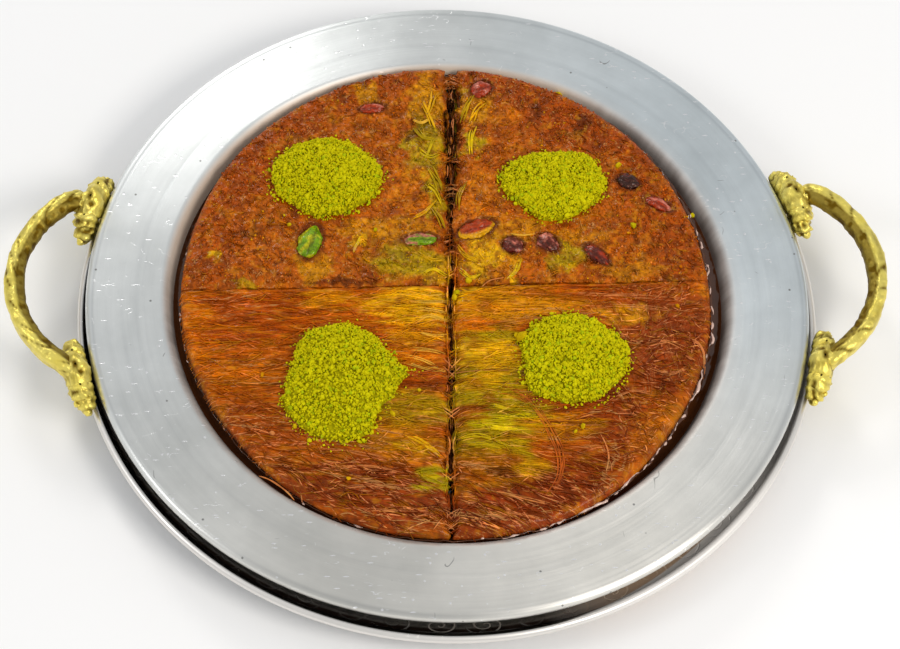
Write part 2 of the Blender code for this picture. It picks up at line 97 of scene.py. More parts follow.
# Soft boxes that look at the middle: place and size in metres, power in watts and colour
LIGHTS = {
    "key": ((-0.34, 1.18, 0.9), (0.35, 0.3), 3.7, (1.0, 0.98, 0.95)),
    "fill": ((0.75, -0.65, 0.95), (0.6, 0.45), 8.5, (1.0, 0.95, 0.89)),
    "side": ((-1.1, -0.2, 0.9), (0.4, 0.4), 2.6, (1.0, 1.0, 1.0)),
}
SKY, SKY_STRENGTH = (0.97, 0.985, 1.0, 1.0), 0.60
# The floor's half width and its level, in metres
FLOOR_HALF, FLOOR_LEVEL = 3.0, -0.0004

# The scrolls in the tray's flange: how many, where their band lies and how tightly they wind
SCROLLS, SCROLL_RADIUS, SCROLL_HALF, SCROLL_PITCH = 52, 146.2, 3.6, 2.6

# Colours as seen, from 0 to 255: the crust and its shreds, the painted glint of the syrup, the nuts and the filling
TONES = {
    "rust": (176, 86, 2), "red_brown": (156, 64, 2), "maroon": (130, 46, 6), "dark": (80, 26, 1), "umber": (112, 42, 2),
    "orange": (196, 106, 2), "amber": (202, 136, 2), "gold": (216, 164, 3), "olive": (172, 144, 1),
    "lime": (190, 172, 1), "lemon": (206, 176, 8), "straw": (226, 176, 60), "blush": (206, 128, 70),
    "fox": (178, 84, 22), "glint": (186, 124, 78),
    "plum": (90, 24, 18), "pink": (200, 112, 92), "brown": (162, 44, 0), "yellow": (230, 170, 4),
    "green": (112, 156, 2), "deep": (34, 10, 12), "leaf": (36, 64, 2), "pale_green": (186, 184, 4),
    "grain_light": (215, 206, 10), "grain_deep": (194, 184, 5), "grain_green": (176, 188, 12),
    "paste": (140, 112, 6), "paste_green": (90, 96, 4), "paste_brown": (80, 34, 4),
}

# The whole kernels: place, size, turn in degrees, how far they stand out, and the tones of the upper side, of
# patches and of the under side. A rim shows the second tone as a seam.
# The pink patches are painted highlights, and the darker under side is painted shade.
KERNELS = {
    "red": dict(at=(12.6, 28.2), size=(16.6, 8.6, 6.0), turn=22, proud=0.62, rim=0.95,
                tones=("brown", "yellow", "brown")),
    "green": dict(at=(-57.2, 22.6), size=(17.0, 9.8, 6.0), turn=74, proud=0.58, taper=0.36,
                  tones=("green", "pale_green", "leaf")),
    "sliver": dict(at=(-11.2, 23.0), size=(14.4, 6.4, 5.0), turn=6, proud=0.52, tones=("green", "pink", "leaf")),
    "plum_near": dict(at=(27.6, 20.0), size=(9.4, 8.2, 5.6), turn=-30, proud=0.55, tones=("plum", "pink", "deep")),
    "plum_middle": dict(at=(42.2, 20.8), size=(10.6, 8.4, 5.6), turn=-38, proud=0.57, tones=("plum", "pink", "deep")),
    "plum_far": dict(at=(62.2, 14.6), size=(13.4, 6.6, 5.0), turn=-44, proud=0.50, tones=("plum", "brown", "deep")),
    "dark": dict(at=(78.2, 51.6), size=(10.2, 7.8, 5.6), turn=-20, proud=0.60, tones=("deep", "plum", "deep")),
    "edge": dict(at=(90.4, 39.8), size=(13.0, 6.4, 5.0), turn=-32, proud=0.50, tones=("brown", "pink", "plum")),
    "rear_left": dict(at=(-30.0, 91.8), size=(11.6, 5.6, 4.6), turn=8, proud=0.50, tones=("brown", "pink", "plum")),
    "rear_right": dict(at=(17.8, 101.6), size=(10.4, 8.0, 5.0), turn=35, proud=0.52, tones=("brown", "pink", "plum")),
}
PEELED = ("green", "sliver")
KERNEL_ROWS, KERNEL_COLUMNS, KERNEL_SEED = 28, 40, 120

# Patches of colour in the crust: tone, middle, half sizes, turn in degrees and strength
# The thin dark patches that lie along the cuts are painted shade.
FIELDS = {
    "back_left": [
        ("red_brown", -86, 66, 44, 20, 45, 0.8), ("red_brown", -40, 104, 40, 14, 20, 0.7),
        ("red_brown", -100, 22, 12, 26, 0, 0.6), ("orange", -13, 50, 11, 15, 0, 0.9),
        ("amber", -7, 96, 7, 18, 0, 0.9), ("olive", -8, 72, 9, 15, 0, 0.9), ("olive", -4, 46, 4, 14, 0, 0.9),
        ("amber", -24, 28, 22, 7, 0, 0.7), ("olive", -16, 13, 18, 9, 0, 0.9), ("gold", -3, 6, 6, 8, 0, 0.8),
        ("amber", -33, 99, 7, 5, 0, 0.8), ("amber", -62, 77, 7, 3, 0, 0.7), ("amber", -56, 12, 8, 8, 20, 0.8),
        ("gold", -97, 15, 3, 4, 0, 1.0), ("dark", -45, 3.5, 17, 2.2, 3, 0.8), ("dark", -83, 28, 6, 3, 0, 0.6),
        ("dark", -12, 78, 3, 3, 0, 0.8), ("olive", -84, 3, 7, 3, 0, 0.7), ("gold", -39, 20, 2, 7, -25, 0.8),
    ],
    "back_right": [
        ("red_brown", 50, 92, 50, 18, -28, 0.9), ("red_brown", 92, 40, 16, 40, 15, 0.7),
        ("red_brown", 95, 8, 12, 12, 0, 0.5), ("orange", 15, 46, 10, 17, 10, 1.0), ("gold", 15, 14, 12, 12, 20, 1.0),
        ("orange", 22, 8, 9, 6, 0, 0.8), ("gold", 28, 5, 2.5, 8, 20, 0.9), ("olive", 50, 15, 8, 7, 0, 0.9),
        ("amber", 30, 28, 14, 4, 10, 0.7), ("amber", 56, 24, 14, 4, 0, 0.5), ("amber", 14, 92, 9, 10, 0, 0.8),
        ("orange", 28, 88, 8, 8, 0, 0.6), ("lime", 13, 73, 4, 7, 0, 0.8), ("gold", 9, 102, 3, 4, 0, 1.0),
        ("dark", 5, 86, 4, 26, 0, 0.9), ("dark", 60, 84, 4, 7, -20, 0.8), ("dark", 41, 90, 3, 5, 10, 0.6),
        ("dark", 64, 12, 5, 3, -20, 0.8), ("dark", 93, 4.5, 6, 1.6, 0, 0.7), ("orange", 93, 50, 4, 6, 20, 0.6),
        ("amber", 76, 8, 12, 5, 0, 0.5),
    ],
    "front_left": [
        ("red_brown", -86, -14, 30, 13, 0, 0.8), ("orange", -106, -12, 6, 14, 0, 0.7),
        ("orange", -103, -31, 9, 5, 0, 1.0), ("orange", -84, -41, 20, 4, 0, 0.9),
        ("red_brown", -78, -66, 20, 12, -30, 0.7), ("maroon", -36, -94, 46, 12, -8, 0.9),
        ("rust", -58, -104, 18, 5, -30, 0.6), ("maroon", -12, -104, 14, 6, 0, 0.8),
        ("amber", -50, -6, 12, 6, 0, 0.8), ("gold", -16, -10, 18, 12, 0, 0.9), ("amber", -14, -24, 14, 8, 0, 0.9),
        ("orange", -14, -33, 12, 6, -8, 1.0), ("red_brown", -12, -46, 13, 6, 0, 0.8),
        ("olive", -16, -58, 20, 10, 0, 0.8), ("amber", -24, -72, 24, 9, -12, 0.55), ("lime", -10, -90, 9, 6, 0, 0.9),
        ("gold", -15, -76, 8, 2.5, -25, 0.9), ("red_brown", -36, -82, 14, 4, -10, 0.6),
        ("maroon", -24, -112, 34, 7, -8, 0.9), ("rust", -8, -110, 6, 4, 0, 0.7),
    ],
    "front_right": [
        ("red_brown", 70, -50, 62, 70, 0, 0.5), ("olive", 14, -56, 20, 44, 0, 1.0), ("amber", 20, -8, 34, 11, 0, 0.9),
        ("orange", 11, -19, 10, 4, 0, 1.0), ("gold", 14, -34, 15, 8, 0, 0.8), ("gold", 10, -46, 10, 5, 0, 0.8),
        ("red_brown", 8, -61, 10, 5, 0, 0.8), ("lime", 22, -66, 16, 5, 0, 0.8), ("olive", 10, -75, 11, 6, 0, 0.8),
        ("amber", 44, -68, 16, 8, 0, 0.6), ("rust", 12, -86, 16, 8, 0, 0.8), ("gold", 30, -86, 10, 4, -10, 0.8),
        ("maroon", 90, -30, 20, 30, 10, 0.9), ("maroon", 66, -62, 12, 20, 0, 0.8), ("maroon", 24, -102, 44, 11, 8, 1.0),
        ("maroon", 50, -90, 18, 10, 20, 0.8), ("amber", 72, -14, 11, 6, 0, 0.9), ("orange", 84, -66, 16, 7, 38, 1.0),
        ("rust", 96, -52, 5, 14, -20, 0.7), ("orange", 104, -3, 4, 4, 0, 0.8), ("dark", 16, -87, 5, 3, 0, 0.7),
        ("red_brown", 60, -4, 34, 5, 0, 0.6), ("gold", 4, -4, 6, 6, 0, 1.0), ("maroon", 24, -112, 40, 6, 6, 0.9),
    ],
}

# Strands laid on the crust: how many, their lengths, points, wobble, rise, radii and seed
SHORT_STRANDS = (1350, (4, 16), 6, 0.28, 0.35, (0.18, 0.34), 72)
STRANDS = {
    "front_left": [(430, (8, 30), 12, 0.17, 0.25, (0.22, 0.40), 71), SHORT_STRANDS],
    "front_right": [(430, (14, 50), 12, 0.10, 0.25, (0.22, 0.40), 71), SHORT_STRANDS],
    "back_left": [(1100, (2, 6), 4, 0.6, 0.2, (0.24, 0.42), 73)],
    "back_right": [(1100, (2, 6), 4, 0.6, 0.2, (0.24, 0.42), 73)],
}
STRAND_SIDES, WALK_STEPS = 3, 48
CUT_STRANDS, CUT_SEED = 420, 75
CRUST_CRUMBS, CRUMB_SEED = 3600, 76
STRAND_REACH, SHRED_SIDES = 112, 5

# Single strands and shreds: tone, radius, how far it lies above the crust, how many side by side, and the places
# that it passes
LOOSE = {
    "front_left": [
        ("blush", 0.34, 0.2, 1, (-80.6, -85.4), (-73.9, -87.8), (-66.8, -93.2), (-62.2, -99.1)),
        ("gold", 0.62, 0.1, 2, (-20, -70), (-13, -74), (-6, -80)),
        ("straw", 0.30, 0.3, 2, (-22, -33), (-13, -35), (-4, -40)),
        ("straw", 0.26, 0.3, 3, (-20, -36), (-12, -39), (-3, -41)),
        ("straw", 0.24, 0.3, 3, (-19, -30), (-9, -31), (-2, -33)),
        ("straw", 0.28, 0.3, 3, (-16, -7), (-9, -8), (-1, -7)),
        ("straw", 0.28, 0.3, 3, (-14, -11), (-8, -12), (-1, -13)),
        ("straw", 0.26, 0.3, 3, (-15, -17), (-9, -15), (-1, -17)),
        ("straw", 0.24, 0.3, 2, (-12, -4), (-7, -4.5), (-1, -3)),
        ("straw", 0.24, 0.3, 3, (-13, -22), (-7, -24), (-1, -23)),
        ("blush", 0.16, 0.2, 3, (-60, -86), (-38, -84), (-16, -88)),
        ("blush", 0.15, 0.2, 3, (-50, -94), (-30, -93), (-10, -98)),
        ("blush", 0.15, 0.2, 4, (-56, -76), (-40, -78), (-22, -84)),
        ("blush", 0.15, 0.2, 4, (-40, -103), (-22, -103), (-8, -106)),
        ("blush", 0.20, 0.3, 1, (-100, -5), (-94, -5.5), (-88, -3)),
    ],
    "front_right": [
        ("blush", 0.26, 0.3, 1, (0, -41.5), (13, -41), (27, -41)),
        ("fox", 0.26, 0.35, 7, (10, -54), (20, -50), (30, -55), (36, -65), (41, -78), (41, -88), (38, -95), (33, -101)),
        ("lemon", 0.65, 0.1, 2, (13, -67), (19, -68.5), (25, -68)),
        ("lemon", 0.40, 0.2, 2, (15, -57), (20, -59), (26, -60)),
        ("straw", 0.32, 0.3, 1, (17, -61), (21, -59), (25, -56)),
        ("lemon", 0.42, 0.2, 2, (2, -72), (9, -71), (18, -74)),
        ("olive", 0.42, 0.2, 2, (3, -76), (10, -75), (19, -78)),
        ("dark", 0.40, 0.1, 2, (38, -65.4), (49, -66), (60, -66)),
        ("blush", 0.22, 0.3, 1, (38, -66.6), (49, -67), (60, -67)),
        ("blush", 0.24, 0.3, 2, (58, -70), (60.5, -80), (58, -90)),
        ("blush", 0.32, 0.6, 2, (97.9, -26.7), (101.7, -30.1), (103.6, -36.4), (102.2, -46.8)),
        ("blush", 0.15, 0.2, 4, (40, -5), (68, -5), (98, -8)),
        ("blush", 0.15, 0.2, 4, (56, -10), (76, -11), (100, -14)),
        ("blush", 0.15, 0.3, 4, (76, -30), (86, -28), (98, -33)),
        ("blush", 0.15, 0.3, 4, (78, -40), (88, -44), (96, -40)),
        ("blush", 0.15, 0.2, 4, (8, -95), (26, -99), (44, -104)),
        ("blush", 0.15, 0.2, 4, (14, -103), (28, -107), (36, -110)),
        ("blush", 0.15, 0.3, 4, (60, -58), (72, -52), (82, -54)),
    ],
    "back_left": [
        ("lemon", 0.55, 0.2, 2, (-40, 16), (-38.5, 20), (-36, 25)),
        ("gold", 0.50, 0.2, 3, (-8, 86), (-5, 92), (-3, 102)),
        ("lemon", 0.45, 0.2, 2, (-9, 63), (-6, 70), (-3, 78)),
        ("gold", 0.40, 0.2, 3, (-14, 34), (-9, 37), (-4, 44)),
        ("gold", 0.42, 0.3, 3, (-9, 97), (-6, 89), (-3, 80)),
        ("olive", 0.42, 0.4, 3, (-12, 82), (-8, 76), (-2, 75)),
        ("straw", 0.34, 0.3, 2, (-13, 86), (-9, 84), (-5, 86)),
        ("lemon", 0.38, 0.4, 3, (-11, 70), (-6, 66), (-1, 68)),
        ("olive", 0.42, 0.4, 4, (-7, 62), (-4, 55), (-2, 48)),
        ("lemon", 0.34, 0.4, 3, (-8, 52), (-4, 47), (-1, 40)),
        ("olive", 0.40, 0.4, 3, (-6, 40), (-3, 34), (-1, 27)),
        ("gold", 0.36, 0.3, 3, (-13, 17), (-7, 13), (-1, 14)),
        ("lemon", 0.34, 0.3, 3, (-11, 6), (-6, 8), (-1, 5)),
    ],
    "back_right": [
        ("olive", 0.42, 0.4, 3, (15, 99), (11, 92), (8, 84)),
        ("gold", 0.38, 0.3, 3, (19, 95), (15, 90), (12, 82)),
        ("lemon", 0.42, 0.4, 3, (14, 82), (12, 75), (12, 67)),
        ("olive", 0.38, 0.4, 3, (9, 53), (6, 46), (5, 38)),
        ("gold", 0.36, 0.3, 3, (4, 21), (7, 15), (13, 12)),
        ("lemon", 0.40, 0.3, 3, (4, 8), (9, 4), (14, 7)),
        ("blush", 0.30, 0.5, 1, (13, -1), (17, 2.5), (23, 4)),
        ("lemon", 0.50, 0.2, 2, (24, 3), (28, 7), (30, 13)),
        ("straw", 0.32, 0.2, 2, (26, 26), (32, 25), (40, 26)),
    ],
}

# Stray crumbs of pistachio: place, size and tone
CRUMBS = {
    "back_left": [(-66, 31, 1.8, "lemon"), (-30, 28, 2.2, "lime"), (-68, 36, 1.5, "lemon")],
    "back_right": [
        (74.5, 60, 2.6, "lemon"), (78.6, 29, 3.0, "lime"), (52, 102, 3.2, "lemon"), (105, 37, 2.4, "lime"),
        (70, 56, 1.6, "lemon"), (8, 2.5, 2.4, "lemon"), (97, 8, 1.6, "orange")],
    "front_left": [
        (-43, -90, 2.0, "gold"), (-73, -69, 1.6, "blush"), (-30, -63, 1.8, "lemon"), (-25, -61, 2.2, "lemon"),
        (-14, -50, 1.6, "lemon"), (-77, -42, 1.8, "amber"), (-64, -66, 1.6, "lemon")],
    "front_right": [
        (51, -68, 2.6, "lemon"), (28.6, -26, 4.6, "lemon"), (26.6, -24.6, 2.6, "lemon"), (3, -3, 3.2, "lime"),
        (2, -5.5, 2.4, "lemon"), (94, -11.5, 1.8, "amber"), (48, -70, 1.6, "lemon")],
}

# The lobes of a handle's foot, from its middle towards the handle's: degrees along the rim, how far out, height,
# radii, flutes, their depth, and a lean towards the handle's middle
LOBES = [
    (0.0, 1.0, 23.0, (5.4, 8.6, 8.0), 6, 0.07, 0.0), (2.4, 1.2, 21.2, (5.0, 6.6, 6.6), 7, 0.09, 0.25),
    (4.2, 0.8, 19.4, (4.2, 5.2, 4.8), 6, 0.10, 0.2), (-2.6, 1.0, 21.2, (4.8, 6.4, 6.2), 6, 0.09, -0.2),
    (-4.3, 0.6, 19.4, (4.0, 4.8, 4.6), 5, 0.09, 0.0), (-6.0, 0.8, 18.6, (1.7, 1.7, 1.8), 0, 0.0, 0.0),
    (-4.6, 3.9, 20.6, (1.6, 1.7, 1.6), 0, 0.0, 0.0), (5.9, 1.6, 18.6, (1.6, 1.6, 1.7), 0, 0.0, 0.0),
    (3.2, 4.8, 21.4, (1.7, 1.8, 1.8), 0, 0.0, 0.0), (1.0, 4.4, 25.6, (3.2, 4.0, 3.6), 4, 0.09, 0.0),
]
LOBE_ROWS, LOBE_COLUMNS = 20, 34


# Meshes
def mesh_piece(name, points, faces, material, slot, replaced=(), smooth=True, **layers):
    """A piece from arrays: points in mm, faces all of one length, and layers of one value or colour a point."""
    mesh = bpy.data.meshes.new(name)
    points = np.asarray(points, np.float32) * MM
    faces = np.asarray(faces, np.int32)
    mesh.vertices.add(len(points))
    mesh.vertices.foreach_set("co", points.ravel())
    mesh.loops.add(faces.size)
    mesh.loops.foreach_set("vertex_index", faces.ravel())
    mesh.polygons.add(len(faces))
    mesh.polygons.foreach_set("loop_start", np.arange(0, faces.size, faces.shape[1], dtype=np.int32))
    mesh.polygons.foreach_set("use_smooth", np.full(len(faces), smooth))
    mesh.update(calc_edges=True)
    for key, values in layers.items():
        values = np.asarray(values, np.float32)
        if values.ndim == 2:
            rgba = np.concatenate([values, np.ones((len(values), 1), np.float32)], axis=1)
            mesh.attributes.new(key, "FLOAT_COLOR", "POINT").data.foreach_set("color", rgba.ravel())
        else:
            mesh.attributes.new(key, "FLOAT", "POINT").data.foreach_set("value", values)
    mesh.materials.append(material)
    piece = bpy.data.objects.new(name, mesh)
    bpy.context.scene.collection.objects.link(piece)
    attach(piece, BODY)
    if replaced:
        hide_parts(*replaced)


def stack(*parts):
    """Arrays side by side, as the coordinates or colours of points."""
    return np.stack(np.broadcast_arrays(*parts), axis=-1)


def grid_faces(rows, columns, wrap=False):
    """Quads over points laid row by row, joined end to end along the columns if they wrap."""
    row, column = np.meshgrid(np.arange(rows - 1), np.arange(columns if wrap else columns - 1), indexing="ij")
    here, after = row * columns + column, row * columns + (column + 1) % columns
    return np.stack([corner.ravel() for corner in (here, after, after + columns, here + columns)], axis=1)


def halves(quads):
    """Two triangles for each quad."""
    return np.concatenate([quads[:, [0, 1, 2]], quads[:, [0, 2, 3]]])


def fan(ring, hub):
    """Triangles from a ring of points to the one in its middle."""
    return stack(ring, np.roll(ring, -1), hub)


def closed_rings(rings, hubs=None):
    """Points and triangles of rings of points, each joined to the next, and the end ones closed by hubs."""
    count, columns = rings.shape[:2]
    points = rings.reshape(-1, 3)
    first, last = np.arange(columns), (count - 1) * columns + np.arange(columns)
    if hubs is None:
        hubs = [points[first].mean(axis=0), points[last].mean(axis=0)]
    caps = [fan(first, len(points))[:, ::-1], fan(last, len(points) + 1)]
    return np.concatenate([points, hubs]), np.concatenate([halves(grid_faces(count, columns, wrap=True)), *caps])


def edge_ring(columns, rows):
    """The points round the edge of a grid, in order."""
    index = np.arange(columns * rows).reshape(columns, rows)
    return np.concatenate([index[:, 0], index[-1, 1:], index[-2::-1, -1], index[0, -2:0:-1]])


def circle(steps):
    return np.arange(steps) * 2 * pi / steps


def ball(rows, columns):
    """The coordinates of a ball whose poles lie on its last axis."""
    away, around = np.meshgrid(np.linspace(0, pi, rows), circle(columns), indexing="ij")
    return np.sin(away) * np.cos(around), np.sin(away) * np.sin(around), np.cos(away)


def join(parts):
    """One mesh of several, each as points, faces and a layer."""
    starts = np.cumsum([0] + [len(points) for points, _, _ in parts])
    faces = [part_faces + start for (_, part_faces, _), start in zip(parts, starts)]
    return np.concatenate([part[0] for part in parts]), np.concatenate(faces), np.concatenate([p[2] for p in parts])


def tube_mesh(paths, radii, sides):
    """Points and triangles of many tubes: paths of shape (count, points, 3), radii of shape (count, points)."""
    ahead = np.gradient(paths, axis=1)
    ahead /= np.maximum(np.linalg.norm(ahead, axis=2, keepdims=True), 1e-6)
    side = np.cross(ahead, (0.0, 0.0, 1.0))
    side /= np.maximum(np.linalg.norm(side, axis=2, keepdims=True), 1e-6)
    up = np.cross(side, ahead)
    turns = circle(sides) + pi / 2
    ring = side[:, :, None] * np.cos(turns)[:, None] + up[:, :, None] * np.sin(turns)[:, None]
    points = paths[:, :, None] + ring * radii[:, :, None, None]
    count, steps = paths.shape[:2]
    faces = (np.arange(count) * steps * sides)[:, None, None] + grid_faces(steps, sides, wrap=True)
    return points.reshape(-1, 3), halves(faces.reshape(-1, 4))


def painted_tubes(paths, radii, sides, tint):
    """A part of tubes, whose paths carry colours point by point."""
    return *tube_mesh(paths, radii, sides), np.repeat(tint.reshape(-1, 3), sides, axis=0)


# Values
LATTICE = np.random.default_rng(7).random((256, 256)) * 2 - 1


def between(grid, i, j, u, v):
    """A value between the points of a grid that repeats."""
    rows, columns = grid.shape
    i, j, k, m = i % rows, j % columns, (i + 1) % rows, (j + 1) % columns
    near = grid[i, j] * (1 - u) + grid[k, j] * u
    far = grid[i, m] * (1 - u) + grid[k, m] * u
    return near * (1 - v) + far * v


def soft_noise(x, y, size, seed):
    """Smooth noise from -1 to 1 with lumps of this size."""
    u, v = x / size + 17.3 * seed, y / size + 31.7 * seed
    i, j = np.floor(u).astype(int), np.floor(v).astype(int)
    u, v = u - i, v - j
    return between(LATTICE, i, j, u * u * (3 - 2 * u), v * v * (3 - 2 * v))


def lumps(x, y, *layers):
    """A sum of noises, each with its weight, size and seed."""
    return sum(weight * soft_noise(x, y, size, seed) for weight, size, seed in layers)


def smooth_step(value, low, high):
    share = np.clip((value - low) / (high - low), 0, 1)
    return share * share * (3 - 2 * share)


def bell(value, width):
    return np.exp(-(value / width) ** 2)


def mix(first, second, share):
    return first + (second - first) * np.asarray(share)[..., None]


def along_across(x, y, turn):
    """Coordinates along and across a direction."""
    c, s = np.cos(turn), np.sin(turn)
    return x * c + y * s, y * c - x * s


def in_front(name):
    return name.startswith("front")


def to_linear(*colour):
    """A colour as seen, from 0 to 255, as the linear light that it stands for."""
    return np.array([(c / 255 / 12.92) if c <= 10 else ((c / 255 + 0.055) / 1.055) ** 2.4 for c in colour])


TONES = {name: to_linear(*colour) for name, colour in TONES.items()}


# Material nodes
class Wire:
    """An output of a shader node. Sums and products of wires add nodes to their tree."""

    def __init__(self, socket):
        self.socket, self.tree = socket, socket.id_data

    def math(self, operation, other=0.0, swapped=False):
        inputs = {0: other, 1: self} if swapped else {0: self, 1: other}
        return Wire(add_node(self.tree, "Math", inputs, operation=operation).outputs["Value"])

    def __add__(self, other):
        return self.math("ADD", other)

    def __sub__(self, other):
        return self.math("SUBTRACT", other)

    def __rsub__(self, other):
        return self.math("SUBTRACT", other, swapped=True)

    def __mul__(self, other):
        return self.math("MULTIPLY", other)

    def __abs__(self):
        return self.math("ABSOLUTE")

    def span(self, low, high, to_low=0.0, to_high=1.0):
        inputs = {"Value": self, "From Min": low, "From Max": high, "To Min": to_low, "To Max": to_high}
        return Wire(add_node(self.tree, "MapRange", inputs).outputs["Result"])

    def mix(self, first, second, blend="MIX"):
        """The first colour where this is 0 and the second where it is 1."""
        node = add_node(self.tree, "Mix", data_type="RGBA", blend_type=blend)
        for index, value in ((0, self), (6, first), (7, second)):
            feed(node.inputs[index], value)
        return Wire(node.outputs[2])

    def noise(self, scale, detail=3.0, roughness=0.5):
        inputs = {"Vector": self, "Scale": scale, "Detail": detail, "Roughness": roughness}
        return Wire(add_node(self.tree, "TexNoise", inputs).outputs["Fac"])


def feed(socket, value):
    """Links a wire to a socket, or sets the socket's value."""
    if isinstance(value, Wire):
        value.tree.links.new(value.socket, socket)
    else:
        socket.default_value = (*value, 1.0) if socket.type == "RGBA" else value


def add_node(tree, kind, inputs=(), **settings):
    """A node with its settings, and its inputs as values or wires."""
    node = tree.nodes.new("ShaderNode" + kind)
    for key, value in settings.items():
        setattr(node, key, value)
    for key, value in dict(inputs).items():
        feed(node.inputs[key], value)
    return node


def largest(first, *others):
    for other in others:
        first = first.math("MAXIMUM", other)
    return first


def painted(colour, *coats):
    """A colour under coats, each given as its share, its colour and, if need be, its blend."""
    for share, *coat in coats:
        colour = share.mix(colour, *coat)
    return colour


class Look:
    """A procedural material. Sockets of its shader are named with _ for a space."""

    def __init__(self, name, colour, roughness, metallic=0.0, **sockets):
        self.material = bpy.data.materials.new(name)
        self.material.use_nodes = True
        self.tree = self.material.node_tree
        self.shader = self.tree.nodes["Principled BSDF"]
        self.set(Base_Color=colour, Roughness=roughness, Metallic=metallic, **sockets)

    def set(self, **sockets):
        for key, value in sockets.items():
            feed(self.shader.inputs[key.replace("_", " ")], value)

    def output(self, name, kind, inputs=(), **settings):
        return Wire(add_node(self.tree, kind, inputs, **settings).outputs[name])

    def place(self, scale=(1.0, 1.0, 1.0), turn=(0.0, 0.0, 0.0)):
        """The object's own coordinates in metres, scaled and turned."""
        place = self.output("Object", "TexCoord")
        return self.output("Vector", "Mapping", {"Vector": place, "Scale": scale, "Rotation": turn})

    def attribute(self, name, output="Fac"):
        return self.output(output, "Attribute", attribute_name=name)

    def vector(self, x, y, z):
        return self.output("Vector", "CombineXYZ", {"X": x, "Y": y, "Z": z})

    def turned(self):
        """The angle about the Z axis, the radius from it in mm, and the height in metres."""
        outputs = add_node(self.tree, "SeparateXYZ", {"Vector": self.place()}).outputs
        x, y, z = (Wire(outputs[axis]) for axis in "XYZ")
        return y.math("ARCTAN2", x), (x * x + y * y).math("SQRT") * 1000.0, z

    def tint(self, light):
        """The colour that comes with the mesh, under some light."""
        inputs = {0: self.attribute("tint", "Color"), "Scale": light}
        return self.output("Vector", "VectorMath", inputs, operation="SCALE")

    def bump(self, height, strength, distance):
        """Relief from a wire, over a distance in metres."""
        inputs = {"Height": height, "Strength": strength, "Distance": distance}
        self.set(Normal=self.output("Normal", "Bump", inputs))


def hair_marks(look, scale, width, share, turn=0.0, stretch=1.0):
    """Thin curved marks: where a noise crosses its middle, broken up by a second noise."""
    place = look.place((scale, scale * stretch, scale), (0.0, 0.0, turn))
    return abs(place.noise(1.0, 2.0, 0.6) - 0.5).span(width, 0.0) * place.noise(2.3, 1.0).span(share, share + 0.03)


def marks(look, scale, size, share, turn=0.0, stretch=1.0, soft=0.5):
    """Small marks in some of the cells of a pattern: round, or drawn out to nicks that lie in one direction."""
    place = look.place((scale, scale * stretch, scale), (0.0, 0.0, turn))
    cells = add_node(look.tree, "TexVoronoi", {"Vector": place, "Scale": 1.0}).outputs
    picked = look.output("Red", "SeparateColor", {"Color": Wire(cells["Color"])})
    return Wire(cells["Distance"]).span(size, size * soft) * picked.math("GREATER_THAN", 1 - share)


def grainy_material(name, colour, roughness, grain, shades, bump, **sockets):
    """A material with the mesh's tint under a fine grain, given by its scale and detail."""
    look = Look(name, colour, roughness, **sockets)
    grain = look.place().noise(*grain)
    look.set(Base_Color=look.tint(grain.span(0.25, 0.75, *shades)))
    look.bump(grain, *bump)
    return look.material


# Camera, light and floor
def make_camera():
    rise, pan, tilt, roll = (radians(a) for a in (CAMERA_RISE, CAMERA_PAN, CAMERA_TILT, CAMERA_ROLL))
    place = Vector((0.0, -cos(rise), sin(rise))) * CAMERA_DISTANCE * MM
    ahead = -place.normalized()
    right = Vector((1.0, 0.0, 0.0))
    up = right.cross(ahead)
    right, ahead = right * cos(pan) - ahead * sin(pan), right * sin(pan) + ahead * cos(pan)
    up, ahead = up * cos(tilt) - ahead * sin(tilt), up * sin(tilt) + ahead * cos(tilt)
    right, up = right * cos(roll) - up * sin(roll), right * sin(roll) + up * cos(roll)
    axes = Matrix((right, up, -ahead)).transposed().to_4x4()
    camera = bpy.data.objects.new("camera", bpy.data.cameras.new("camera"))
    bpy.context.scene.collection.objects.link(camera)
    middle = Matrix.Translation(Vector((*PLATE_AT[:2], PLATE_HEIGHT)) * MM)
    camera.matrix_world = middle @ Matrix.Rotation(radians(-CAMERA_TURN), 4, "Z") @ Matrix.Translation(place) @ axes
    camera.data.lens = CAMERA_LENS
    camera.data.sensor_width = SENSOR
    camera.data.clip_start, camera.data.clip_end = 0.05, 20.0
    bpy.context.scene.camera = camera


def make_light():
    world = bpy.data.worlds.new("studio")
    bpy.context.scene.world = world
    world.use_nodes = True
    background = world.node_tree.nodes["Background"]
    background.inputs["Color"].default_value = SKY
    background.inputs["Strength"].default_value = SKY_STRENGTH
    for name, (place, size, power, colour) in LIGHTS.items():
        light = bpy.data.lights.new(name, "AREA")
        light.shape = "RECTANGLE"
        light.size, light.size_y = size
        light.energy = power
        light.color = colour
        box = bpy.data.objects.new(name, light)
        bpy.context.scene.collection.objects.link(box)
        box.location = place
        box.rotation_mode = "QUATERNION"
        box.rotation_quaternion = (-Vector(place)).to_track_quat("-Z", "Y")
    bpy.context.scene.view_settings.view_transform = "Standard"


def make_floor():
    mesh = bpy.data.meshes.new("floor")
    corners = [(x * FLOOR_HALF, y * FLOOR_HALF, 0) for x, y in ((-1, -1), (1, -1), (1, 1), (-1, 1))]
    mesh.from_pydata(corners, [], [(0, 1, 2, 3)])
    floor = bpy.data.objects.new("floor", mesh)
    floor.location.z = FLOOR_LEVEL
    bpy.context.scene.collection.objects.link(floor)
    mesh.materials.append(Look("floor_paper", (0.93, 0.93, 0.93), 0.9).material)


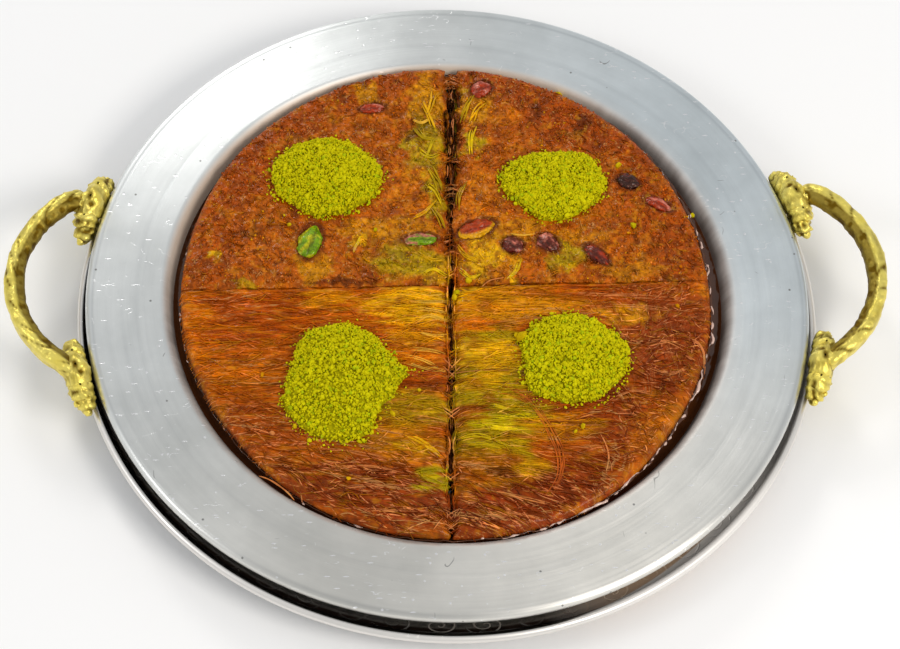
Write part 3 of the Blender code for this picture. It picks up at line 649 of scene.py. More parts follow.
# Turned metal
def fillet(before, corner, after, radius):
    """Points of the arc that rounds a corner of a profile."""
    point = Vector(corner)
    back = (Vector(before) - point).normalized()
    onward = (Vector(after) - point).normalized()
    half = back.angle(onward) / 2
    middle = point + (back + onward).normalized() * radius / sin(half)
    start = point + back * radius * cos(half) / sin(half) - middle
    end = point + onward * radius * cos(half) / sin(half) - middle
    sweep = atan2(start.cross(end), start.dot(end))
    turns = (sweep * i / FILLET_STEPS for i in range(FILLET_STEPS + 1))
    return [tuple(middle + Matrix.Rotation(turn, 2) @ start) for turn in turns]


def rounded_profile(corners):
    """A profile through corners of (radius from the axis, height, fillet radius)."""
    points = [corners[0][:2]]
    for before, corner, after in zip(corners, corners[1:], corners[2:]):
        points += fillet(before[:2], corner[:2], after[:2], corner[2]) if corner[2] else [corner[:2]]
    return points + [corners[-1][:2]]


def refined(profile, step):
    """The profile with points no further apart than a step."""
    points = [profile[0]]
    for start, end in zip(profile, profile[1:]):
        count = max(1, int(np.ceil(hypot(end[0] - start[0], end[1] - start[1]) / step)))
        points += [tuple(np.array(start) + (np.array(end) - start) * i / count) for i in range(1, count + 1)]
    return np.array(points)


def turned_sheet(profile, thickness, relief=None):
    """Points and triangles of a sheet turned about Z: its upper side from the profile, its under side a thickness
    off. Relief is a function of radius and angle that lowers the upper side."""
    ahead = np.gradient(profile, axis=0)
    ahead /= np.linalg.norm(ahead, axis=1)[:, None]
    under = profile + stack(ahead[:, 1], -ahead[:, 0]) * thickness
    under[0, 0] = 0.0
    ring = np.concatenate([profile, under[::-1]])
    radius, turn = np.meshgrid(ring[1:-1, 0], circle(TURNED_STEPS), indexing="ij")
    height = np.repeat(ring[1:-1, 1:2], TURNED_STEPS, axis=1)
    if relief:
        upper = len(profile) - 1
        height[:upper] -= relief(radius[:upper], turn[:upper])
    hubs = [(0.0, 0.0, ring[0, 1]), (0.0, 0.0, ring[-1, 1])]
    points, faces = closed_rings(stack(radius * np.cos(turn), radius * np.sin(turn), height), hubs)
    return points, faces[:, ::-1]


def spun_aluminium():
    """Satin aluminium with spun rings, hair scratches, white nicks and dark specks. Its wall is dull and darker low
    down.
    """
    look = Look("spun_aluminium", (0.80, 0.82, 0.84), 0.34, 1.0, Anisotropic=0.65, Anisotropic_Rotation=0.25)
    look.set(Tangent=look.output("Tangent", "Tangent", direction_type="RADIAL", axis="Z"))
    angle, radius, height = look.turned()
    rings = look.vector(angle * 1.2, radius * 0.9, height).noise(1.0, 2.0, 0.7)
    streaks = look.vector(angle * 2.2, radius * 0.2, height).noise(1.0, 3.0, 0.6)
    smear = look.vector(angle * 14.0, radius * 0.02, height).noise(1.0, 3.0, 0.6)
    clouds = look.place().noise(26.0, 4.0, 0.6)
    lines = [abs(radius - at).span(width, 0.0) for at, width in ((147.2, 1.0), (129.5, 1.8))]
    turned = largest(lines[0], lines[1] * 0.3)
    bright = largest(hair_marks(look, 60.0, 0.006, 0.62, 0.6, 1.6), marks(look, 420.0, 0.26, 0.06),
                     marks(look, 170.0, 0.20, 0.12, 0.7, 4.0, 0.6), marks(look, 150.0, 0.22, 0.12, -0.4, 5.0, 0.6))
    dark = largest(marks(look, 260.0, 0.16, 0.05), hair_marks(look, 42.0, 0.005, 0.68, 1.4))
    wall = look.attribute("wall")
    dull = smear.span(0.35, 0.65).mix((0.33, 0.285, 0.255), (0.52, 0.47, 0.43))
    look.set(Base_Color=painted(
        (clouds * 0.75 + streaks * 0.25).span(0.3, 0.7).mix((0.64, 0.66, 0.65), (0.84, 0.86, 0.85)),
        (turned * 0.35, (0.42, 0.44, 0.45)),
        # Painted reflections: the front is painted warmer and the right cooler, by the angle round the plate.
        ((angle + 1.5).math("COSINE").span(0.2, 0.9), (0.985, 0.94, 0.89), "MULTIPLY"),
        ((angle - 0.5).math("COSINE").span(0.5, 0.95), (0.98, 1.03, 1.07), "MULTIPLY"),
        (dark, (0.26, 0.26, 0.25)),
        (bright, (0.98, 0.98, 0.98)),
        # The pale share is painted light: the wall at the back-left is painted lighter.
        (wall, painted(dull, (look.attribute("pale"), (0.84, 0.68, 0.53)))),
        # Darker brown low on the wall, near the syrup's level.
        (look.attribute("stain"), (0.070, 0.034, 0.020)),
    ))
    rough = rings.span(0.3, 0.7, 0.30, 0.40) + clouds * 0.10 + wall * 0.25
    look.set(Metallic=1.0 - wall * 0.8, Roughness=rough - bright * 0.15)
    look.bump(rings + streaks * 0.4 - bright - turned * 4.0, 0.12, 0.0003)
    return look.material


def plate_relief(radius, turn):
    """Shallow waves, a spun ring and small dents in the flange and the wall."""
    x, y = radius * np.cos(turn), radius * np.sin(turn)
    inner, outer = (WELL_RADIUS + 1, WELL_RADIUS + 6), (PLATE_RADIUS, PLATE_RADIUS - 5)
    on_flange = smooth_step(radius, *inner) * smooth_step(radius, *outer)
    ring = 0.10 * bell(radius - 0.862 * PLATE_RADIUS, 0.9)
    return (lumps(x, y, (0.16, 34.0, 2), (0.04, 9.0, 3)) + ring) * on_flange


def make_plate():
    corners = [
        (0.0, WELL_FLOOR, 0),
        (WELL_RADIUS - (PLATE_HEIGHT - WELL_FLOOR) * WELL_TAPER, WELL_FLOOR, 5.0),
        (WELL_RADIUS, PLATE_HEIGHT, 3.6),
        (PLATE_RADIUS, PLATE_HEIGHT, 2.6),
        (PLATE_RADIUS, PLATE_HEIGHT - PLATE_EDGE_DROP, 0),
    ]
    points, faces = turned_sheet(refined(rounded_profile(corners), 4.4), PLATE_THICKNESS, plate_relief)
    x, y, height = points.T
    radius, turn = np.hypot(x, y), np.arctan2(y, x)
    # Painted light: the share of the wall at the back-left that is painted lighter.
    pale = smooth_step(np.cos(turn - 2.05), 0.25, 0.80)
    # How high the darker brown low on the wall reaches: uneven, higher at the right and lower at the back-left.
    dark_edge_lift = 1.0 * soft_noise(turn * 60, turn * 0, 4.0, 5) + 1.6 * np.cos(turn + 0.2) - 3.0 * pale
    inside = smooth_step(radius, WELL_RADIUS + 0.6, WELL_RADIUS - 1.0)
    # At the right the dull wall colour reaches further out onto the flange, as painted shade.
    wall_top = WELL_RADIUS + 1.8 + 1.8 * smooth_step(np.cos(turn), 0.0, 0.8)
    mesh_piece("plate_sheet", points + PLATE_AT, faces, spun_aluminium(), "spun_aluminium", ["serving_plate"],
               wall=smooth_step(radius, wall_top, WELL_RADIUS - 1.6),
               stain=inside * smooth_step(height, 18.8 + dark_edge_lift, 15.4 + dark_edge_lift), pale=pale)


def scrolls(look, angle, radius):
    """The engraved band, from 0 to 1: a row of spirals turned over by turns, between two lines, worn in places."""
    turn = angle * (SCROLLS / (2 * pi))
    odd = (turn.math("FLOOR") * 0.5).math("FRACT").math("GREATER_THAN", 0.25)
    along = (turn.math("FRACT") - 0.5) * (1.3 * pi * SCROLL_RADIUS / SCROLLS)
    off = radius - SCROLL_RADIUS
    out = off * (odd * 2.0 - 1.0)
    far = (along * along + out * out).math("SQRT")
    winding = far * (1 / SCROLL_PITCH) - out.math("ARCTAN2", along) * (1 / (2 * pi))
    band = abs(off)
    groove = abs(winding.math("FRACT") - 0.5).span(0.12, 0.05) * far.span(5.2, 4.4)
    groove = groove * band.span(SCROLL_HALF, SCROLL_HALF - 0.5)
    border = abs(band - (SCROLL_HALF + 0.2)).span(0.35, 0.1)
    return largest(groove, border * 0.5) * look.place().noise(22.0, 2.0).span(0.50, 0.62, 0.12, 1.0)


def polished_steel():
    """Mirror steel with fine hair scratches, a band of engraved scrolls on the flange, a satin rim and painted light
    and shade.
    """
    look = Look("polished_steel", (0.60, 0.59, 0.57), 0.10, 1.0)
    clouds = look.place().noise(30.0, 4.0)
    scratch = hair_marks(look, 70.0, 0.006, 0.60, 0.9, 1.5)
    angle, radius, _ = look.turned()
    groove = scrolls(look, angle, radius)
    # bright_side: the lit right side, where the rim is painted wider as a painted highlight and the shadow ring
    # narrower.
    bright_side = (angle + 0.40).math("COSINE").span(0.60, 0.95, 0.0, 6.0)
    # warm: a painted brown reflection at the lower right, where the engraved grooves are also painted paler.
    warm = (angle + 0.90).math("COSINE").span(0.90, 0.985)
    rim = (radius + bright_side).span(151.8, 152.5)
    # shaded: a painted shadow ring on the flange under the plate's edge.
    shaded = (abs(radius - 150.8) + bright_side * 0.3).span(1.3, 0.8)
    look.set(Base_Color=painted(
        clouds.mix((0.52, 0.51, 0.49), (0.66, 0.65, 0.63)),
        (groove * 0.7, (0.30, 0.24, 0.17)),
        (warm * 0.9, (0.55, 0.36, 0.22)),
        (groove * warm * 0.9, (1.0, 0.84, 0.64)),
        (shaded * 0.85, (0.06, 0.055, 0.05)),
        (rim, (0.80, 0.77, 0.73)),
    ))
    rough = clouds.span(0.3, 0.7, 0.06, 0.16) + scratch * 0.25 + rim * 0.26 + groove * 0.3
    look.set(Metallic=1.0 - largest(groove * 0.6, rim * 0.25, warm * 0.8), Roughness=rough)
    look.bump(scratch * -0.3 - groove, 0.5, 0.0003)
    return look.material


def make_tray():
    bead_r, bead_z = TRAY_RADIUS - BEAD_RADIUS, TRAY_HEIGHT - BEAD_RADIUS
    corners = [
        (0.0, TRAY_THICKNESS, 0),
        (TRAY_BASE_RADIUS, TRAY_THICKNESS, 9.0),
        (TRAY_FLANGE_INNER, bead_z - TRAY_FLANGE_DROP, 8.0),
        (bead_r - BEAD_RADIUS, bead_z - 0.8, 0),
    ]
    profile = rounded_profile(corners)
    turns = np.radians(np.linspace(165, -60, 11))
    profile[-1:] = [(bead_r + BEAD_RADIUS * cos(t), bead_z + BEAD_RADIUS * sin(t)) for t in turns]
    points, faces = turned_sheet(refined(profile, 5.0), TRAY_THICKNESS)
    mesh_piece("tray_sheet", points, faces, polished_steel(), "polished_steel", ["under_tray"])


# The kunafa's form, as the solids have it
def direction(turn):
    return np.array([cos(turn), sin(turn)])


def quarter_axes(name):
    across, deep = QUARTERS[name]
    return across * direction(CROSS_CUT_TURN), deep * direction(LONG_CUT_TURN)


def cross(first, second):
    return first[0] * second[1] - first[1] * second[0]


def quarter_corner(name, grow=0.0):
    across, deep = quarter_axes(name)
    grow = np.asarray(grow)[..., None]
    corner = across * (LONG_CUT_WIDTH / 2 - grow) + deep * (CROSS_CUT_WIDTH / 2 - grow)
    return np.array([CROSS_X, CROSS_Y]) + corner / abs(cross(across, deep))


def well_radius(height):
    return WELL_RADIUS - (PLATE_HEIGHT - height) * WELL_TAPER


def side_radius(turn, height):
    """The kunafa's radius at a height: it stands off the plate's wall, more at the top, and most at its left
    and right, where it has drawn in a little."""
    height = np.minimum(height, FOOD_TOP - SHOULDER_RADIUS)
    rise = (height - FOOD_BASE) / (FOOD_TOP - SHOULDER_RADIUS - FOOD_BASE)
    uneven = 0.9 * np.cos(turn) + 0.3 * np.sin(3 * turn + 1) + 0.25 * np.sin(7 * turn) + DRAWN_IN * np.cos(2 * turn)
    return well_radius(height) - SIDE_GAP_LOW - (SIDE_GAP_HIGH - SIDE_GAP_LOW + uneven) * rise


STRAY_AT = np.linspace(-130, 130, 521)
STRAY = np.array([noise.noise(Vector((0.0, y / 26, 3.0))) for y in STRAY_AT])


def wander(x, y):
    """How far the long cut strays sideways here."""
    return 1.2 * np.interp(y, STRAY_AT, STRAY) * np.exp(-np.abs(x) / 12)


def quarter_point(name, u, v, height, inset=0.0, grow=0.0):
    """Points of a quarter for u and v from 0 to 1: the cuts are at 0 and the side at 1."""
    across, deep = quarter_axes(name)
    corner = quarter_corner(name, grow)
    x, y = u * np.sqrt(1 - v * v / 2), v * np.sqrt(1 - u * u / 2)
    along = x[..., None] * across + y[..., None] * deep
    size = np.linalg.norm(along, axis=-1)
    along = np.where(size[..., None] > 0, along / np.maximum(size, 1e-9)[..., None], across)
    reach = side_radius(np.arctan2(along[..., 1], along[..., 0]), height) - inset
    middle = np.sum(along * corner, axis=-1)
    length = np.sqrt(middle * middle - np.sum(corner * corner, axis=-1) + reach * reach) - middle
    found = corner + along * (np.hypot(x, y) * length)[..., None]
    return found[..., 0] + wander(found[..., 0], found[..., 1]), found[..., 1]


RAGGED_AT = np.linspace(-pi, pi, 361)
for heap in HEAPS.values():
    heap["ragged"] = [noise.noise(Vector((2.2 * cos(t), 2.2 * sin(t), heap["height"]))) for t in RAGGED_AT]


def heap_distance(heap, x, y):
    """How far points lie from a heap's middle, where 1 is its outline."""
    dx, dy = x - heap["at"][0], y - heap["at"][1]
    turn = np.arctan2(dy, dx)
    lean = np.cos(turn - radians(heap["towards"]))
    edge = 1 + heap["point"] * lean * np.abs(lean) + 0.06 * np.interp(turn, RAGGED_AT, heap["ragged"])
    for angle, share, width in heap["corners"]:
        edge = edge + share * bell(np.angle(np.exp(1j * (turn - radians(angle)))), radians(width))
    return np.hypot(dx / heap["half"][0], dy / heap["half"][1]) / edge


def nearest_heap(x, y):
    return np.min([heap_distance(heap, x, y) for heap in HEAPS.values()], axis=0)


DIP_HALF, DIP_STEP = 121.5, 1.5
DIP_TICKS = np.arange(-DIP_HALF, DIP_HALF + DIP_STEP / 2, DIP_STEP)


def dip_map(front):
    """How far the crust lies below its highest level, on a grid: combed ridges in front, clumps at the back."""
    long, wide, seed = (46, 7, 1.0) if front else (9, 9, 4.0)
    x, y = np.meshgrid(DIP_TICKS, DIP_TICKS, indexing="ij")
    dips = [
        0.6 * noise.noise(Vector((a / long, b / wide, seed))) + 0.5 * noise.noise(Vector((a / 42, b / 42, 7.0)))
        for a, b in zip(x.ravel(), y.ravel())
    ]
    away = np.clip((nearest_heap(x, y) - 1.1) / 0.5, 0, 1)
    return np.maximum(0.0, MEAN_DIP - np.array(dips).reshape(x.shape) * away)


DIPS = {front: dip_map(front) for front in (True, False)}


def dip_at(front, x, y):
    """The dip between the points of its grid."""
    u, v = (np.clip((place + DIP_HALF) / DIP_STEP, 0, len(DIP_TICKS) - 1.001) for place in (x, y))
    i, j = u.astype(int), v.astype(int)
    return between(DIPS[front], i, j, u - i, v - j)


def margins(name, x, y):
    """How far points lie inside the long cut, the cross cut and the round side."""
    across, deep = quarter_axes(name)
    corner = quarter_corner(name)
    dx, dy = x - wander(x, y) - corner[0], y - corner[1]
    sign = np.sign(cross(across, deep))
    from_long = (dx * deep[1] - dy * deep[0]) * sign
    from_cross = (across[0] * dy - across[1] * dx) * sign
    return from_long, from_cross, side_radius(np.arctan2(y, x), FOOD_TOP) - np.hypot(x, y)


def crust_height(name, x, y):
    """The crust's level at points of a quarter, with its lips at the cuts and its shoulder at the side."""
    from_long, from_cross, from_side = margins(name, x, y)
    lips = 0.9 * np.clip(1 - from_long / 7.7, 0, 1) ** 2 + 0.4 * np.clip(1 - from_cross / 5.5, 0, 1) ** 2
    out = 1 - np.clip(from_side / SHOULDER_RADIUS, 0, 1)
    shoulder = SHOULDER_RADIUS * (1 - np.sqrt(1 - out * out))
    return FOOD_TOP - dip_at(in_front(name), x, y) - lips - shoulder


# The crust
CORE_CELLS = {True: (70, 270), False: (170, 170)}
SHOULDER_STEPS, SIDE_STEPS = 5, 6


def kernels_in(name):
    """The kernels that lie in a quarter."""
    across, deep = QUARTERS[name]
    return [shape for shape in KERNELS.values() if shape["at"][0] * across > 0 and shape["at"][1] * deep > 0]


def kernel_distance(shape, x, y):
    """How far points lie from a kernel's middle, where 1 is its outline."""
    along, across = along_across(x - shape["at"][0], y - shape["at"][1], radians(shape["turn"]))
    return np.hypot(along / shape["size"][0], across / shape["size"][1]) * 2


def heading(name, x, y):
    """The way that the strands are combed, as an angle."""
    down = np.clip(-y / 110, 0, 1)
    if name == "front_left":
        return -0.30 * smooth_step(down, 0.35, 0.9) + 0.05 * soft_noise(x, y, 30.0, 61) + 0.1 * smooth_step(x, -40, 0)
    if name == "front_right":
        curl = smooth_step(x, 62, 90) * 0.8 * soft_noise(x, y, 16.0, 62)
        return -0.34 * smooth_step(down, 0.6, 0.95) + curl + 0.05 * soft_noise(x, y, 30.0, 63)
    return 3.0 * soft_noise(x, y, 13.0, 64)


def comb_of(name, x, y):
    """Places along and across the strands."""
    return along_across(x, y, heading(name, x, y) if in_front(name) else 0.0 * x)


def crust_colour(name, x, y):
    """The crust's colour at points of a quarter: its patches run into each other along the strands."""
    if in_front(name):
        along, across = comb_of(name, x, y)
        wx = x + 7.0 * soft_noise(along, across * 8, 15.0, 11) + 4.0 * soft_noise(along, across * 9, 7.0, 12)
        wy = y + 1.6 * soft_noise(x, y, 9.0, 13) + 0.8 * soft_noise(along, across * 4, 6.0, 14)
    else:
        wx = x + lumps(x, y, (3.0, 8.0, 11), (2.2, 2.8, 12))
        wy = y + lumps(x, y, (3.0, 8.0, 13), (2.2, 2.8, 14))
    colour = np.broadcast_to(TONES["rust"], (*np.shape(x), 3))
    for tone, at_x, at_y, half_x, half_y, turn, strength in FIELDS[name]:
        along, across = along_across(wx - at_x, wy - at_y, radians(turn))
        far = np.hypot(along / half_x, across / half_y)
        colour = mix(colour, TONES[tone], strength * smooth_step(far, 1.18, 0.68))
    long, wide = (6.0, 2.2) if in_front(name) else (3.6, 3.6)
    patch = lumps(x / long, y / wide, (1.0, 1.0, 15), (0.4, 0.45, 16))
    colour = mix(colour, TONES["red_brown"] * 0.8, 0.55 * smooth_step(patch, 0.15, 0.75))
    colour = mix(colour, TONES["amber"], 0.26 * smooth_step(patch, -0.35, -0.9))
    if in_front(name):
        colour = colour * (1 + 0.18 * smooth_step(y, -62, -6))[..., None]
    # Painted shade: the crust is painted darker in a ring round each kernel, where the two meet.
    for shape in kernels_in(name):
        colour = mix(colour, TONES["dark"], 0.85 * smooth_step(kernel_distance(shape, x, y), 1.4, 1.08))
    return colour


def vary(colour, x, y):
    """The colour with small clumps that are lighter, darker or yellower."""
    colour = colour * (1 + lumps(x, y, (0.23, 1.3, 50), (0.20, 4.0, 51)))[..., None]
    colour = mix(colour, TONES["amber"], 0.36 * smooth_step(soft_noise(x, y, 2.2, 53), 0.45, 0.75))
    return mix(colour, TONES["umber"], 0.6 * smooth_step(soft_noise(x, y, 2.8, 52), 0.35, 0.70))


def crust_material(name, roughness, fine, glint, contrast):
    """Syrup-glazed pastry: the colour comes with the mesh, the fine grain, the wet coat and painted glint highlights
    from here.
    The grain follows the comb of the strands, drawn out by the scales along, across and up."""
    look = Look(name, (0.3, 0.1, 0.02), roughness, Specular_IOR_Level=0.30, Specular_Tint=(1.0, 0.48, 0.18),
                Coat_Weight=0.12, Coat_Roughness=0.10)
    comb = look.attribute("comb", "Vector")
    place = look.output("Vector", "VectorMath", {0: comb, 1: fine}, operation="MULTIPLY")
    grain = look.place().noise(800.0, 3.0, 0.6)
    both = place.noise(1.0, 3.0, 0.65) * 0.65 + grain * 0.35
    colour = look.tint(both.span(0.32, 0.68, 1.05 - 0.55 * contrast, 1.05 + 0.6 * contrast))
    # Painted highlights: pinkish glints painted into the base colour.
    glints = (place.noise(2.1, 2.0, 0.6) * place.noise(0.5, 1.0)).span(glint, glint + 0.05, 0.0, 0.7)
    look.set(Base_Color=glints.mix(colour, (0.60, 0.29, 0.09)),
             Roughness=grain.span(0.3, 0.7, roughness - 0.1, roughness + 0.14))
    look.bump(both, 0.8, 0.0008)
    return look.material


def crust_relief(name, x, y):
    """The fine relief of the crust: combed in front, grainy at the back, and swelling up round the kernels."""
    if in_front(name):
        along, across = comb_of(name, x, y)
        relief = 0.24 * soft_noise(along, across * 10, 11.0, 21) + 0.20 * soft_noise(along, across * 8, 17.0, 22)
        relief += 0.14 * soft_noise(x, y, 2.2, 23) + 0.16 * soft_noise(along, across * 3, 9.0, 29)
    else:
        relief = lumps(x, y, (0.26, 1.5, 24), (0.30, 2.7, 25), (0.3, 6.0, 26))
        relief += 0.16 * np.abs(soft_noise(x, y, 1.1, 27))
    for shape in kernels_in(name):
        relief = relief + (0.8 + 0.5 * soft_noise(x, y, 2.5, 28)) * bell(kernel_distance(shape, x, y) - 1.12, 0.22)
    return relief


def fray(name, x, y, z):
    """How the cuts' faces stray: their points move sideways at the long cut and, less, at the cross cut."""
    across, deep = QUARTERS[name]
    from_long, from_cross, _ = margins(name, x, y)
    closed = 0.65 - 1.15 * smooth_step(y, 28, 60)
    long_way = -closed + 0.95 * soft_noise(y, z * 0.6, 5.0, 33 + across) + 0.65 * soft_noise(y, z, 1.7, 35 + across)
    cross_way = -0.42 + lumps(x, z, (0.30, 6.0, 37 + deep), (0.22, 1.8, 39 + deep))
    x = x + across * long_way * bell(np.maximum(from_long, 0), 2.6)
    return x, y + deep * cross_way * bell(np.maximum(from_cross, 0), 1.6)


def stand_out(x, y):
    """The places of points, moved out where the crust comes near the plate's lip in front."""
    far = np.maximum(np.hypot(x, y), 1.0)
    grow = 1 + 1.4 * smooth_step(-y / far, 0.6, 0.98) * smooth_step(far, 98, 112) / far
    return x * grow, y * grow


def lip_drop(name, x, y):
    """How far the crust slumps at the cuts."""
    from_long, from_cross, _ = margins(name, x, y)
    uneven = 1 + 0.7 * soft_noise(y, x, 4.0, 31)
    return 1.5 * uneven * bell(np.maximum(from_long, 0), 1.7) + 0.5 * bell(np.maximum(from_cross, 0), 0.9)


def core_tint(name, x, y, z, along, athwart, depth):
    """The colours of a quarter's body, with painted shade in its hollows and down its side and its cuts."""
    tint = 0.96 * vary(crust_colour(name, x, y), x, y)
    if in_front(name):
        fine, coarse = soft_noise(along, athwart * 11, 10.0, 57), soft_noise(along, athwart * 6, 20.0, 58)
        tint = tint * (1.05 + 0.22 * fine + 0.16 * coarse)[:, None]
    # Painted shade: darker in the hollows of the relief.
    tint = mix(tint, tint * 0.4, depth)
    # Painted shade down the side and into the cuts, darker still at the rear of the long cut; the side that faces the
    # front is painted a lighter maroon and darkens lower, as painted light.
    facing = smooth_step(-y / np.maximum(np.hypot(x, y), 1.0), 0.6, 0.98)
    at_cut = smooth_step(np.minimum(*margins(name, x, y)[:2]), 3.0, 1.0)
    rear = at_cut * smooth_step(y, 4, 30)
    start = FOOD_TOP - 1.8 - 4.0 * facing - 1.5 * at_cut + 0.9 * rear
    low_tone = mix(np.broadcast_to(TONES["dark"] * 0.5, tint.shape), TONES["umber"] * 0.45, at_cut)
    low_tone = mix(low_tone, TONES["dark"] * 0.45, rear)
    low_tone = mix(low_tone, TONES["maroon"] * 1.5, facing * (1 - at_cut))
    return mix(tint, low_tone, smooth_step(z, start, start - 2.6 - 1.0 * at_cut - 3.0 * facing + 1.2 * rear))


def quarter_core(name, material, slot):
    """The body of a quarter: a fine grid on top, then rings down its shoulder and its sides."""
    columns, rows = CORE_CELLS[in_front(name)]
    u, v = np.meshgrid(np.linspace(0, 1, columns) ** 1.15, np.linspace(0, 1, rows) ** 1.1, indexing="ij")
    x, y = quarter_point(name, u, v, FOOD_TOP, SHOULDER_RADIUS)
    relief = crust_relief(name, x, y)
    height = crust_height(name, x, y) + relief - 0.25 - lip_drop(name, x, y)
    edge = edge_ring(columns, rows)
    eu, ev, low = u.ravel()[edge], v.ravel()[edge], FOOD_TOP - height.ravel()[edge]
    rings = [stack(x, y, height).reshape(-1, 3)]
    for k in range(1, SHOULDER_STEPS + 1):
        share = k / SHOULDER_STEPS
        turn = share * pi / 2
        level = FOOD_TOP - SHOULDER_RADIUS * (1 - cos(turn))
        px, py = quarter_point(name, eu, ev, level, SHOULDER_RADIUS * (1 - sin(turn)) + 0.3 * share)
        bump = 0.9 * crust_relief(name, px, py) + 0.3 * soft_noise(px + py, px - py, 1.6, 30 + k)
        rings.append(stack(px, py, level - low * (1 - share) + bump * (1 - share)))
    for k in range(1, SIDE_STEPS + 1):
        share = k / SIDE_STEPS
        level = FOOD_TOP - SHOULDER_RADIUS + (FOOD_BASE - FOOD_TOP + SHOULDER_RADIUS) * share
        bump = 0.45 * soft_noise(px * 1.3 + py, px - py * 1.3, 2.6, 40 + k)
        px, py = quarter_point(name, eu, ev, level, BASE_INSET * share + 0.5 + bump, np.minimum(0.0, bump))
        rings.append(stack(px, py, level))
    count, ring = columns * rows, len(edge)
    loops = [edge] + [count + k * ring + np.arange(ring) for k in range(len(rings) - 1)]
    quads = [stack(here, np.roll(here, -1), np.roll(after, -1), after) for here, after in zip(loops, loops[1:])]
    points = np.concatenate(rings)
    sides = halves(np.concatenate([grid_faces(columns, rows), *quads]))
    triangles = np.concatenate([sides, fan(loops[-1], len(points))])
    points = np.concatenate([points, [points[loops[-1]].mean(axis=0)]])
    if cross(*quarter_axes(name)) > 0:
        triangles = triangles[:, ::-1]
    z = points[:, 2]
    px, py = fray(name, *points.T)
    along, athwart = comb_of(name, px, py)
    # Painted shade: the hollows of the relief are marked for darkening.
    depth = np.zeros(len(points))
    depth[:count] = 0.8 * smooth_step(relief.ravel(), 0.05, -0.5)
    mesh_piece("crust_" + name, stack(*stand_out(px, py), z) + PLATE_AT, triangles, material, slot, ["kunafa_" + name],
               tint=core_tint(name, px, py, z, along, athwart, depth), comb=stack(along, athwart, z))


# Strands
def resample(paths, first, last, count):
    """Each path between two of its indices, with a new count of points."""
    at = first[:, None] + (last - first)[:, None] * np.linspace(0, 1, count)
    low = np.floor(at).astype(int)
    high = np.minimum(low + 1, paths.shape[1] - 1)
    rows = np.arange(len(paths))[:, None]
    return paths[rows, low] + (paths[rows, high] - paths[rows, low]) * (at - low)[..., None]


def glinting(name, x, y):
    """Where the syrup glints on short curled strands, from 0 to 1."""
    if in_front(name):
        return np.maximum(smooth_step(x, 48, 78), smooth_step(-y - 0.25 * x, 66, 88))
    return 0.5 * smooth_step(np.hypot(x, y), 60, 95)


def scattered(name, count, draw):
    """Random places over the square round a quarter."""
    return draw.uniform(0, STRAND_REACH, (2, count * 2)) * np.array(QUARTERS[name])[:, None]


